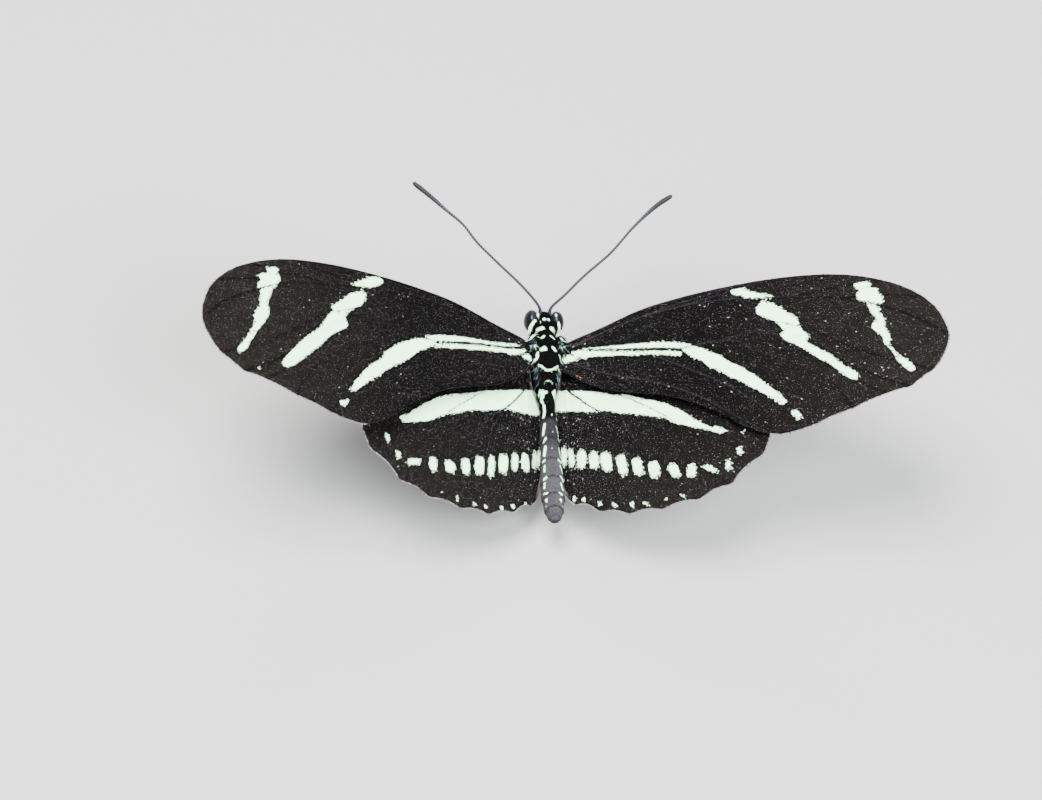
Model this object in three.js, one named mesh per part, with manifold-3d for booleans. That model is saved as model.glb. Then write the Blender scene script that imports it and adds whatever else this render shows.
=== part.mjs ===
// Zebra longwing butterfly at life size, standing on four feet with its wings held open in a shallow V.
// Millimetres, +Z up, +Y towards the head, +X towards the insect's right wing tip.
// The body, head and wings are modelled about the middle of the thorax and tilted together, nose up.
// The legs reach from there down to the ground, and the whole insect is centred on its own bounding box.
import * as THREE from "three";
import { mergeVertices } from "three/addons/utils/BufferGeometryUtils.js";
import Module from "manifold-3d";

const wasm = await Module();
wasm.setup();

const rad = THREE.MathUtils.degToRad;
const GAP = 0.3; // clearance between neighbouring parts

// Stance of the whole insect.
const STANCE = { height: 7.2, noseUp: rad(8) };

// Both wings of one side share a hinge on the thorax, at this place on the right side.
// The left wings are held a little higher and further back than the right ones.
const HINGE = { x: 2.3, y: 1.0, z: 1.6 };
const WING_POSE = {
  right: {
    side: 1, raise: rad(25), pitch: rad(1.1), sweep: rad(0.4), foreSlide: [0.1, 0.05],
    hindTurn: 0, hindPitch: 0, hindSlide: [0.1, 0.05],
  },
  left: {
    side: -1, raise: rad(26.2), pitch: rad(-2), sweep: rad(-4.5), foreSlide: [0.2, 0.3],
    hindTurn: rad(0.74), hindPitch: rad(4.8), hindSlide: [0.03, 0.18],
  },
};

// Wings: a membrane of even thickness with its veins raised in both faces.
const MEMBRANE = { thickness: 0.5, rootSwell: 0.35, rootReach: 2.6 };
const VEIN = { halfWidth: 0.42, topHeight: 0.2, underShare: 0.4, tipShare: 0.55 };
const STEP = { outline: 1.6, scallop: 1.0, vein: 2.1, field: 3.2 };
const SPACE = { onVein: 0.5, besideVein: 0.3, besideRim: 0.4, open: 1.1 }; // least room round a plan point
const FIELD = { rows: [-9, 4], columns: [-1, 16] };
const HINDWING_DROP = 1.05; // the hindwing's middle surface lies this far under the forewing's

// Forewing plan, in the wing's own plane: x runs out from the hinge, y runs forward.
const FOREWING = {
  edges: [
    [[-1.0, 1.4], [-0.2, 2.1], [3.8, 3.35], [8.5, 4.8], [13.1, 5.45], [18, 5.72], [22.5, 5.7],
      [27.2, 5.3], [31.5, 4.45], [35.6, 2.85], [38.8, 0.8], [41.0, -1.6], [42.15, -4.3], [42.25, -5.9],
      [41.3, -8.1], [40.2, -9.4]],
    [[40.2, -9.4], [37.6, -10.95]],
    [[37.6, -10.95], [34.9, -11.25]],
    [[34.9, -11.25], [31.2, -12.25]],
    [[31.2, -12.25], [27, -13.3]],
    [[27, -13.3], [24.5, -13.75], [22.8, -13.8]],
    [[22.8, -13.8], [20.8, -13.1], [19, -12.1], [16.8, -10.25], [14, -8.35], [11.2, -6.9], [8.6, -6.0],
      [5.6, -5.15], [3.5, -4.3], [1.6, -3.2], [0.2, -2.1], [-1.0, -1.2]],
  ],
  scallop: 0.12,
  veins: [
    [[-0.2, 2.0], [3.8, 3.2], [8.5, 4.65], [13.1, 5.3], [18, 5.57], [22.5, 5.55], [27.2, 5.15]], // costa
    [[0, 1.5], [6, 3.2], [12, 4.5], [19.5, 5.6]], // subcosta
    [[0, 1.1], [6.5, 2.9], [12, 3.95], [18, 4.05], [25, 2.8], [31, 1.6], [36, -0.8], [41.9, -5.2]], // radius
    [[11, 3.8], [17, 4.7], [23.5, 5.6]],
    [[18, 4.05], [24, 4.3], [30, 4.8]],
    [[25, 2.8], [31, 3.0], [36.2, 2.7]],
    [[31, 1.6], [35.5, 0.9], [39.9, -0.3]],
    [[19.2, 3.9], [21.8, 0.9], [25.9, -0.8], [29.9, -3.7], [34.5, -6.6], [40.2, -9.4]],
    [[21.8, 0.9], [22.3, -0.9], [25.7, -2.1], [30.4, -6.2], [34, -8.8], [37.6, -10.95]], // first median
    [[22.3, -0.9], [24.5, -2.7], [28.1, -5.8], [31.6, -8.9], [34.9, -11.25]],
    [[12.9, -1.2], [16.9, -0.95], [20.5, -2.6], [26.9, -6.7], [31.2, -12.25]],
    [[0, 0.6], [6, -0.15], [12.5, -1.3], [18, -5.1], [23.8, -9.5], [27, -13.3]], // cubitus
    [[8.5, -0.6], [14, -4.0], [19, -7.9], [21.8, -11.1], [23, -13.75]],
    [[22.3, -0.9], [20, -0.75], [16.9, -0.95]],
    [[0, -0.4], [4, -2.6], [9, -4.4], [14, -7.2], [18.3, -10.8], [21.3, -13.2]], // anal vein
  ],
};

// Hindwing plan, in the same plane. Its margin dips between the ends of the veins.
const HINDWING = {
  edges: [
    [[-1.4, -0.4], [-0.2, 0.5], [2.4, 1.3], [6, 1.0], [10, -0.6], [14, -3.6], [17.5, -7.2], [20.3, -10.6],
      [21.6, -12.8], [21.4, -13.8], [20.7, -15.45]],
    [[20.7, -15.45], [16.9, -18.3]],
    [[16.9, -18.3], [13.25, -19.45]],
    [[13.25, -19.45], [9.1, -19.85]],
    [[9.1, -19.85], [5.4, -19.75]],
    [[5.4, -19.75], [2.1, -18.85]],
    [[2.1, -18.85], [-0.6, -17.25]],
    [[-0.6, -17.25], [-1.6, -16.0], [-2.3, -14.1], [-2.8, -11.5], [-3.0, -8], [-2.9, -5.4], [-2.4, -3.4],
      [-1.8, -1.9], [-1.4, -0.4]],
  ],
  scallop: 0.5,
  veins: [
    [[-0.5, -0.8], [4, 0.0], [10, -2.2], [16, -7.0], [21.5, -13.2]], // subcosta and first radius
    [[-0.5, -1.6], [2.5, -3.2], [7.9, -6.8], [14, -11.6], [20.7, -15.45]], // radial sector
    [[7.9, -6.8], [10.8, -11.5], [13.8, -15.6], [16.9, -18.3]],
    [[7.9, -6.8], [5.0, -8.6], [9.6, -15.1], [13.25, -19.45]],
    [[2.8, -6.5], [4.6, -9.0], [6.0, -14], [9.1, -19.85]],
    [[-0.6, -2.1], [1.2, -5.0], [2.8, -6.5], [5.0, -8.6]], // cubitus and the end of the cell
    [[2.0, -5.8], [2.4, -9.5], [3.2, -14], [5.4, -19.75]],
    [[1.2, -5.0], [0.7, -9], [0.4, -12.3], [2.1, -18.85]],
    [[-0.6, -2.6], [-0.9, -7], [-0.9, -12], [-0.6, -17.25]], // anal vein
  ],
};

// Bow of the wing surfaces across the chord, and the trough that the hindwing makes beside the abdomen.
const BOW = { height: 0.3, foreMiddle: -3.5, hindMiddle: -9, halfChord: 9.7 };
const TROUGH = { depth: 1.25, width: 3.0, start: 0.9 };

// Body stations along Y: [y, half width, height above the axis, depth below it, height of the axis],
// with the axis moved sideways by a sixth number if there is one.
const THORAX = [
  [4.0, 0.75, 1.1, 1.0, 0.2], [3.7, 1.25, 1.65, 1.45, 0.1], [3.0, 1.7, 2.15, 2.0, 0],
  [1.9, 2.02, 2.5, 2.45, 0], [0.5, 2.1, 2.62, 2.7, 0], [-0.8, 1.9, 2.4, 2.55, 0],
  [-1.9, 1.5, 1.95, 2.1, 0], [-2.7, 1.0, 1.35, 1.5, 0.05], [-3.0, 0.7, 0.95, 1.1, 0.1],
];
const COLLAR = [
  [5.5, 0.6, 0.75, 0.7, 0.3], [5.2, 0.95, 1.1, 1.0, 0.3], [4.6, 1.2, 1.4, 1.3, 0.25],
  [4.0, 1.3, 1.6, 1.4, 0.2], [3.4, 1.1, 1.4, 1.2, 0.15],
];
const HEAD = [
  [7.9, 0.3, 0.3, 0.35, 0.2], [7.7, 0.72, 0.72, 0.8, 0.25], [7.25, 1.12, 1.12, 1.2, 0.3],
  [6.6, 1.4, 1.42, 1.5, 0.3], [5.9, 1.4, 1.45, 1.45, 0.3], [5.3, 1.1, 1.15, 1.1, 0.3],
  [4.9, 0.7, 0.75, 0.7, 0.3],
];
const EYE = { x: 1.38, y: 6.53, z: 0.37, bulge: 0.8, length: 1.18, height: 1.27 };
const SCUTELLUM = { y: -1.75, z: 1.55, halfWidth: 1.15, halfLength: 0.75, halfHeight: 0.75 };
const TEGULA = { x: 1.85, y: 2.5, z: 2.1, halfWidth: 0.72, halfLength: 1.05, halfHeight: 0.5 };

// Abdomen: rear edges of its rings along Y, its half width, how its axis falls and bends towards the tip,
// and how far each ring's rear edge stands proud.
const ABDOMEN = {
  front: -2.75,
  ringEnds: [-4.3, -6.2, -8.7, -11.3, -13.4, -15.3, -16.8, -17.7, -18.2],
  widths: [[-2.75, 0.85], [-4.5, 0.86], [-6.5, 0.96], [-9, 1.05], [-11.5, 1.18], [-13.5, 1.27], [-15.3, 1.3],
    [-16.4, 1.2], [-17.3, 1.0], [-17.9, 0.72], [-18.2, 0.42]],
  height: [[-2.75, 0.35], [-8, 0.35], [-13, 0.05], [-18.2, -0.6]],
  bend: [[-2.75, 0], [-8, 0.03], [-13, 0.2], [-18.2, 0.45]],
  heightShare: 1.06,
  lip: 0.07,
  swellFrom: 0.6,
  cuts: [0.05, 0.5, 0.97],
  tipCuts: [0.05, 0.55, 1],
};

// Antennae: centre line from the socket on the head to the tip of the club.
const ANTENNA = {
  right: [[0.5, 7.0, 1.0], [0.62, 7.65, 1.66], [1.96, 9.32, 2.12], [4.11, 11.49, 2.71], [7.37, 14.29, 3.46],
    [9.77, 17.15, 4.23], [11.31, 18.77, 4.67], [12.85, 20.18, 5.05], [14.45, 21.3, 5.35]],
  left: [[-0.5, 7.0, 1.0], [-0.62, 7.6, 1.66], [-2.37, 9.74, 2.23], [-5.63, 12.68, 3.03],
    [-7.82, 14.73, 3.58], [-9.37, 16.6, 4.08], [-11.31, 18.13, 4.5], [-13.28, 19.73, 4.93],
    [-15.1, 21.05, 5.3]],
  shaft: 0.25,
  club: 0.34,
  clubStart: 0.76,
  tip: 0.2,
  socketEnd: 0.04,
  socketSwell: 1.25,
  clubFull: 0.94,
  steps: 30,
};
const PALP = {
  path: [[0.64, 7.0, -0.6], [0.74, 7.55, -0.98], [0.74, 8.0, -1.02], [0.66, 8.35, -0.8]],
  radii: [0.26, 0.28, 0.26, 0.13],
};
const PROBOSCIS = {
  y: 6.75, z: -2.4, inner: 0.38, outer: 1.2, turns: 1.55, rootBack: 0.15, rootRise: 0.6,
  radius: 0.25, thinning: 0.35, steps: 30,
};

// Legs: centre lines in the ground's frame, measured from the point under the thorax.
// The walking legs are coxa, femur, tibia and tarsus, with the end of the tarsus laid flat on the ground.
const LEGS = {
  midleg: [[0.85, 1.1, 5.1], [1.2, 1.5, 4.6], [3.4, 2.5, 5.6], [5.4, 3.5, 6.3], [5.9, 3.8, 6.1],
    [7.4, 4.7, 3.6], [8.8, 5.5, 1.25], [9.4, 5.9, 0.6], [10.5, 6.5, 0.2], [12.2, 7.4, 0.2]],
  hindleg: [[0.75, -1.1, 4.7], [1.1, -1.5, 4.15], [3.1, -3.2, 4.85], [4.9, -4.9, 5.5], [5.3, -5.35, 5.3],
    [6.4, -7.1, 3.2], [7.4, -8.7, 1.2], [7.75, -9.3, 0.6], [8.35, -10.4, 0.2], [9.2, -12.0, 0.2]],
};
const LEG_RADII = [0.5, 0.42, 0.42, 0.34, 0.3, 0.28, 0.27, 0.28, 0.3, 0.17];
const GROUND = { width: 60, depth: 4 };
const FORELEG = {
  path: [[0.62, 4.3, -0.75], [0.85, 4.7, -1.5], [0.8, 5.35, -2.1], [0.66, 4.7, -2.5], [0.6, 3.9, -2.75]],
  radii: [0.34, 0.32, 0.27, 0.26, 0.16],
};

const COLOURS = {
  body: { color: 0x14120f, roughness: 0.75, metalness: 0 },
  abdomen: { color: 0x5d5a5c, roughness: 0.7, metalness: 0 },
  eye: { color: 0x1b1218, roughness: 0.25, metalness: 0 },
  wing: { color: 0x1a1613, roughness: 0.8, metalness: 0 },
  limb: { color: 0x17130f, roughness: 0.55, metalness: 0 },
};

const v3 = ([x, y, z]) => new THREE.Vector3(x, y, z);
const mirrored = (points) => points.map(([x, y, z]) => [-x, y, z]);

// A table of [position, value] read by straight lines between its rows.
function along(table, position) {
  const falling = table[0][0] > table[table.length - 1][0];
  const rows = falling ? [...table].reverse() : table;
  if (position <= rows[0][0]) return rows[0][1];
  for (let i = 1; i < rows.length; i++) {
    if (position > rows[i][0]) continue;
    const share = (position - rows[i - 1][0]) / (rows[i][0] - rows[i - 1][0]);
    return rows[i - 1][1] + share * (rows[i][1] - rows[i - 1][1]);
  }
  return rows[rows.length - 1][1];
}

// Turns a closed geometry into a solid that can be joined and cut.
function solidOf(geometry) {
  const bare = geometry.clone();
  bare.deleteAttribute("normal");
  bare.deleteAttribute("uv");
  const merged = mergeVertices(bare, 1e-4);
  const mesh = new wasm.Mesh({
    numProp: 3,
    vertProperties: merged.attributes.position.array,
    triVerts: new Uint32Array(merged.index.array),
  });
  return new wasm.Manifold(mesh);
}

// The largest closed surface of a solid, as a geometry.
function geometryOf(solid) {
  const largest = solid.decompose().reduce((a, b) => (b.volume() > a.volume() ? b : a));
  const { numProp, numVert, vertProperties, triVerts } = largest.getMesh();
  const positions = new Float32Array(numVert * 3);
  for (let i = 0; i < numVert; i++) {
    positions.set(vertProperties.subarray(i * numProp, i * numProp + 3), i * 3);
  }
  return indexed(positions, triVerts);
}

function indexed(positions, indices) {
  const geometry = new THREE.BufferGeometry();
  geometry.setAttribute("position", new THREE.BufferAttribute(Float32Array.from(positions), 3));
  geometry.setIndex(Array.from(indices));
  geometry.computeVertexNormals();
  return geometry;
}

function moved(solid, matrix) {
  return solid.transform(matrix.elements);
}

function subtractAll(solid, cutters) {
  return cutters.reduce((rest, cutter) => rest.subtract(cutter), solid);
}

// A closed skin over rings of equal count, with a fan at each end. Turned outward if it came out inside out.
function loft(rings) {
  const count = rings[0].length;
  const positions = [];
  const faces = [];
  for (const ring of rings) for (const point of ring) positions.push(point.x, point.y, point.z);
  for (let r = 0; r + 1 < rings.length; r++) {
    for (let i = 0; i < count; i++) {
      const j = (i + 1) % count;
      const [a, b, c, d] = [r * count + i, r * count + j, (r + 1) * count + i, (r + 1) * count + j];
      faces.push([a, c, b], [b, c, d]);
    }
  }
  for (const [r, turn] of [[0, false], [rings.length - 1, true]]) {
    const centre = rings[r].reduce((sum, p) => sum.add(p), new THREE.Vector3()).divideScalar(count);
    const hub = positions.length / 3;
    positions.push(centre.x, centre.y, centre.z);
    for (let i = 0; i < count; i++) {
      const [a, b] = [r * count + i, r * count + ((i + 1) % count)];
      faces.push(turn ? [hub, b, a] : [hub, a, b]);
    }
  }
  let volume = 0;
  const corner = (i) => new THREE.Vector3().fromArray(positions, i * 3);
  for (const [a, b, c] of faces) volume += corner(a).dot(corner(b).cross(corner(c)));
  return indexed(positions, faces.flatMap((f) => (volume < 0 ? [f[0], f[2], f[1]] : f)));
}

// Oval rings across the body axis, from rows of stations, optionally grown on every side.
function bodyLoft(stations, sides, grow = 0) {
  const last = stations.length - 1;
  const facing = Math.sign(stations[0][0] - stations[last][0]);
  const rings = stations.map(([y, halfWidth, above, below, axis, shift = 0], row) => {
    const ends = row === 0 ? facing : row === last ? -facing : 0;
    return Array.from({ length: sides }, (_, i) => {
      const angle = (2 * Math.PI * i) / sides;
      const rise = Math.sin(angle) >= 0 ? above : below;
      const across = shift + (halfWidth + grow) * Math.cos(angle);
      return new THREE.Vector3(across, y + ends * grow, axis + (rise + grow) * Math.sin(angle));
    });
  });
  return solidOf(loft(rings));
}

function ellipsoid({ x = 0, y = 0, z = 0 }, [rx, ry, rz], across = 16, grow = 0) {
  const geometry = new THREE.SphereGeometry(1, across, Math.round(across * 0.6));
  geometry.scale(rx + grow, ry + grow, rz + grow);
  geometry.translate(x, y, z);
  return solidOf(geometry);
}

// A round tapering limb along a smooth or straight-jointed centre line.
function limb(curve, radiusAt, steps, sides) {
  const frames = curve.computeFrenetFrames(steps, false);
  const rings = [];
  for (let i = 0; i <= steps; i++) {
    const centre = curve.getPointAt(i / steps);
    const radius = radiusAt(i / steps);
    rings.push(Array.from({ length: sides }, (_, k) => {
      const angle = (2 * Math.PI * k) / sides;
      return centre.clone()
        .addScaledVector(frames.normals[i], radius * Math.cos(angle))
        .addScaledVector(frames.binormals[i], radius * Math.sin(angle));
    }));
  }
  return solidOf(loft(rings));
}

const smoothCurve = (points) => new THREE.CatmullRomCurve3(points.map(v3), false, "centripetal");

// Planar helpers for the wings.
function planCurve(points, step) {
  if (points.length === 2) {
    const straight = new THREE.LineCurve(new THREE.Vector2(...points[0]), new THREE.Vector2(...points[1]));
    return straight.getSpacedPoints(Math.max(2, Math.round(straight.getLength() / step)));
  }
  const curve = smoothCurve(points.map(([x, y]) => [x, y, 0]));
  return curve.getSpacedPoints(Math.max(2, Math.round(curve.getLength() / step)))
    .map((p) => new THREE.Vector2(p.x, p.y));
}

// The margin's outline: smooth runs joined at corners, each two-point run dipping inwards between its ends.
function wingOutline(plan) {
  const outline = [];
  for (const edge of plan.edges) {
    const run = planCurve(edge, edge.length === 2 ? STEP.scallop : STEP.outline);
    if (edge.length === 2) {
      const [start, end] = [run[0], run[run.length - 1]];
      const inward = new THREE.Vector2(-(end.y - start.y), end.x - start.x).normalize().negate();
      run.forEach((point, i) => {
        point.addScaledVector(inward, plan.scallop * Math.sin((Math.PI * i) / (run.length - 1)));
      });
    }
    outline.push(...run.slice(0, -1));
  }
  return outline;
}

function distanceToLine(point, line) {
  let best = { distance: Infinity, share: 0 };
  for (let i = 0; i + 1 < line.length; i++) {
    const [a, b] = [line[i], line[i + 1]];
    const span = b.clone().sub(a);
    const t = THREE.MathUtils.clamp(point.clone().sub(a).dot(span) / span.lengthSq(), 0, 1);
    const distance = point.distanceTo(a.clone().addScaledVector(span, t));
    if (distance < best.distance) best = { distance, share: (i + t) / (line.length - 1) };
  }
  return best;
}

function isInside(point, outline) {
  let inside = false;
  for (let i = 0, j = outline.length - 1; i < outline.length; j = i++) {
    const [a, b] = [outline[i], outline[j]];
    if (a.y > point.y === b.y > point.y) continue;
    const crossing = ((b.x - a.x) * (point.y - a.y)) / (b.y - a.y) + a.x;
    if (point.x < crossing) inside = !inside;
  }
  return inside;
}

// Delaunay triangles over a set of plan points, one point added at a time.
function triangulate(points) {
  const far = 1e3;
  const frame = [new THREE.Vector2(-far, -far), new THREE.Vector2(far, -far), new THREE.Vector2(0, far)];
  const all = [...points, ...frame];
  const withCircle = (a, b, c) => {
    const [p, q, r] = [all[a], all[b], all[c]];
    const d = 2 * (p.x * (q.y - r.y) + q.x * (r.y - p.y) + r.x * (p.y - q.y));
    const [pp, qq, rr] = [p.lengthSq(), q.lengthSq(), r.lengthSq()];
    const centre = new THREE.Vector2(
      (pp * (q.y - r.y) + qq * (r.y - p.y) + rr * (p.y - q.y)) / d,
      (pp * (r.x - q.x) + qq * (p.x - r.x) + rr * (q.x - p.x)) / d);
    return { corners: [a, b, c], centre, reach: centre.distanceToSquared(p) };
  };
  let triangles = [withCircle(points.length, points.length + 1, points.length + 2)];
  points.forEach((point, index) => {
    const rim = new Map();
    const kept = [];
    for (const triangle of triangles) {
      if (triangle.centre.distanceToSquared(point) > triangle.reach) {
        kept.push(triangle);
        continue;
      }
      const [a, b, c] = triangle.corners;
      for (const [from, to] of [[a, b], [b, c], [c, a]]) {
        if (!rim.delete(`${to},${from}`)) rim.set(`${from},${to}`, [from, to]);
      }
    }
    for (const [from, to] of rim.values()) kept.push(withCircle(from, to, index));
    triangles = kept;
  });
  return triangles.map((t) => t.corners).filter((t) => t.every((i) => i < points.length));
}

// Plan points of one wing: its outline, three rows along each vein, and a loose field between.
function wingPoints(outline, veins) {
  const points = outline.map((p) => p.clone());
  const rim = points.length;
  const add = (candidate, clearance, rimClearance) => {
    if (!isInside(candidate, outline)) return;
    const blocked = points.some((p, i) => p.distanceTo(candidate) < (i < rim ? rimClearance : clearance));
    if (!blocked) points.push(candidate);
  };
  for (const vein of veins) for (const p of vein) add(p.clone(), SPACE.onVein, SPACE.onVein);
  for (const vein of veins) {
    vein.forEach((p, i) => {
      const ahead = vein[Math.min(i + 1, vein.length - 1)].clone().sub(vein[Math.max(i - 1, 0)]).normalize();
      const across = new THREE.Vector2(-ahead.y, ahead.x).multiplyScalar(VEIN.halfWidth);
      add(p.clone().add(across), SPACE.besideVein, SPACE.besideRim);
      add(p.clone().sub(across), SPACE.besideVein, SPACE.besideRim);
    });
  }
  const rowHeight = STEP.field * Math.sqrt(0.75);
  for (let row = FIELD.rows[0]; row < FIELD.rows[1]; row++) {
    for (let column = FIELD.columns[0]; column < FIELD.columns[1]; column++) {
      const shifted = column + (row % 2 ? 0.5 : 0);
      add(new THREE.Vector2(shifted * STEP.field, row * rowHeight), SPACE.open, SPACE.open);
    }
  }
  return points;
}

const smoothStep = (value) => THREE.MathUtils.smoothstep(value, 0, 1);

// Height of each wing's middle surface over its plane.
const bow = (y, middle) => -BOW.height * ((y - middle) / BOW.halfChord) ** 2;
const surface = {
  forewing: (x, y) => bow(y, BOW.foreMiddle),
  hindwing: (x, y) => bow(y, BOW.hindMiddle) - TROUGH.depth * smoothStep((TROUGH.start - x) / TROUGH.width),
};

// One wing as a closed sheet. The same plan triangles serve both faces, so the faces never cross.
function wingSolid(kind, side, extra = 0) {
  const plan = kind === "forewing" ? FOREWING : HINDWING;
  const outline = wingOutline(plan);
  const veins = plan.veins.map((vein) => planCurve(vein, STEP.vein));
  const points = wingPoints(outline, veins);
  const middle = (t) => new THREE.Vector2((points[t[0]].x + points[t[1]].x + points[t[2]].x) / 3,
    (points[t[0]].y + points[t[1]].y + points[t[2]].y) / 3);
  const plane = triangulate(points).filter((t) => isInside(middle(t), outline));
  const rootUp = kind === "forewing" ? MEMBRANE.rootSwell : 0;
  const rootDown = MEMBRANE.rootSwell - rootUp;
  const half = MEMBRANE.thickness / 2 + extra;
  const upper = [];
  const lower = [];
  for (const p of points) {
    let ridge = 0;
    for (const vein of veins) {
      const { distance, share } = distanceToLine(p, vein);
      const height = VEIN.topHeight * (1 - (1 - VEIN.tipShare) * share);
      ridge = Math.max(ridge, height * Math.max(0, 1 - distance / VEIN.halfWidth));
    }
    const root = Math.exp(-((p.length() / MEMBRANE.rootReach) ** 2));
    const z = surface[kind](p.x, p.y);
    upper.push(side * p.x, p.y, z + half + ridge + rootUp * root);
    lower.push(side * p.x, p.y, z - half - VEIN.underShare * ridge - rootDown * root);
  }
  const count = points.length;
  const faces = [];
  const rim = new Map();
  for (const t of plane) {
    const [a, b, c] = t;
    const [p, q, r] = [points[a], points[b], points[c]];
    const turn = (q.x - p.x) * (r.y - p.y) - (q.y - p.y) * (r.x - p.x) > 0 ? [a, b, c] : [a, c, b];
    faces.push(turn, [turn[0] + count, turn[2] + count, turn[1] + count]);
    for (const [from, to] of [[turn[0], turn[1]], [turn[1], turn[2]], [turn[2], turn[0]]]) {
      if (!rim.delete(`${to},${from}`)) rim.set(`${from},${to}`, [from, to]);
    }
  }
  for (const [from, to] of rim.values()) {
    faces.push([from, from + count, to], [to, from + count, to + count]);
  }
  const indices = faces.flatMap((f) => (side < 0 ? [f[0], f[2], f[1]] : f));
  return solidOf(indexed([...upper, ...lower], indices));
}

// Abdomen rings: each one swells a little towards its rear edge and steps in behind it.
function abdomenSolid(grow = 0) {
  const rows = [];
  let front = ABDOMEN.front;
  ABDOMEN.ringEnds.forEach((end, ring) => {
    const last = ring === ABDOMEN.ringEnds.length - 1;
    for (const share of last ? ABDOMEN.tipCuts : ABDOMEN.cuts) {
      const y = front + share * (end - front);
      const width = along(ABDOMEN.widths, y) + ABDOMEN.lip * (share - ABDOMEN.swellFrom);
      const height = width * ABDOMEN.heightShare;
      rows.push([y, width, height, height, along(ABDOMEN.height, y), along(ABDOMEN.bend, y)]);
    }
    front = end;
  });
  return bodyLoft(rows, 16, grow);
}

// The thorax with its scutellum, the small shield at the back.
function thoraxSolid(grow = 0) {
  const { y, z, halfWidth, halfLength, halfHeight } = SCUTELLUM;
  const shield = ellipsoid({ y, z }, [halfWidth, halfLength, halfHeight], 14, grow);
  return bodyLoft(THORAX, 20, grow).add(shield);
}

function eyeSolid(side, grow = 0) {
  const { x, y, z, bulge, length, height } = EYE;
  return ellipsoid({ x: side * x, y, z }, [bulge, length, height], 18, grow);
}

function antennaSolid(side) {
  const { shaft, club, clubStart, clubFull, tip, socketEnd, socketSwell, steps } = ANTENNA;
  const curve = smoothCurve(side > 0 ? ANTENNA.right : ANTENNA.left);
  const radiusAt = (t) => {
    if (t < socketEnd) return shaft * socketSwell;
    if (t < clubStart) return shaft;
    if (t < clubFull) {
      const share = (t - clubStart) / (clubFull - clubStart);
      return shaft + (club - shaft) * Math.sin((Math.PI / 2) * share);
    }
    return club + (tip - club) * ((t - clubFull) / (1 - clubFull)) ** 2;
  };
  return limb(curve, radiusAt, steps, 8);
}

function proboscisSolid() {
  const { y, z, inner, outer, turns, rootBack, rootRise, radius, thinning, steps } = PROBOSCIS;
  const points = [];
  for (let i = 0; i <= steps; i++) {
    const share = i / steps;
    const angle = Math.PI / 2 + share * turns * 2 * Math.PI;
    const reach = outer + (inner - outer) * share;
    points.push([0, y + reach * Math.cos(angle), z + reach * Math.sin(angle)]);
  }
  points.unshift([0, y - rootBack, z + outer + rootRise]);
  return limb(smoothCurve(points), (t) => radius * (1 - thinning * t), steps, 8);
}

function taperedLimb(points, radii, steps, sides) {
  const curve = smoothCurve(points);
  const spaced = radii.map((radius, i) => [i / (radii.length - 1), radius]);
  // Radii belong to the control points, so each is looked up by the curve's own parameter.
  const radiusAt = (t) => along(spaced, curve.getUtoTmapping(t));
  return limb(curve, radiusAt, steps, sides);
}

// Everything below the ground plane, to trim the soles flat.
function groundBlock() {
  const block = new THREE.BoxGeometry(GROUND.width, GROUND.width, GROUND.depth);
  block.translate(0, 0, -GROUND.depth / 2);
  return solidOf(block);
}

const insect = new THREE.Group();
const body = new THREE.Group();
body.position.set(0, 0, STANCE.height);
body.rotation.x = STANCE.noseUp;
body.updateMatrix();
insect.add(body);

function addMesh(parent, name, solid, colour) {
  const mesh = new THREE.Mesh(geometryOf(solid), new THREE.MeshStandardMaterial(COLOURS[colour]));
  mesh.name = name;
  parent.add(mesh);
  return mesh;
}

// A wing placed in its side's wing frame, cut clear of the body parts it would touch.
function addWing(wings, name, kind, side, [slideOut, slideForward], lift, pitch, turn, cutters) {
  const mesh = addMesh(wings, name, wingSolid(kind, side), "wing");
  mesh.position.set(side * slideOut, slideForward, lift);
  mesh.rotation.set(pitch, 0, side * turn);
  mesh.updateMatrix();
  const inBody = wings.matrix.clone().multiply(mesh.matrix);
  const cut = subtractAll(moved(wingSolid(kind, side), inBody), cutters);
  mesh.geometry = geometryOf(moved(cut, inBody.clone().invert()));
}

// Trunk: thorax, abdomen, collar and head, each trimmed back from the one it grows from.
const thorax = thoraxSolid();
const thoraxRoom = thoraxSolid(GAP);
const collarRoom = bodyLoft(COLLAR, 16, GAP);
const abdomen = abdomenSolid().subtract(thoraxRoom);
const abdomenRoom = abdomenSolid(GAP);
const headRoom = bodyLoft(HEAD, 18, GAP);
addMesh(body, "thorax", thorax, "body");
addMesh(body, "abdomen", abdomen, "abdomen");
addMesh(body, "prothorax", bodyLoft(COLLAR, 16).subtract(thoraxRoom), "body");
const head = subtractAll(bodyLoft(HEAD, 18), [collarRoom, eyeSolid(1, GAP), eyeSolid(-1, GAP)]);
addMesh(body, "head", head, "body");
addMesh(body, "proboscis", subtractAll(proboscisSolid(), [headRoom]), "limb");

const groundFromBody = body.matrix;
const thoraxRoomOverGround = moved(thoraxRoom, groundFromBody);
const ground = groundBlock();

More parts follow.
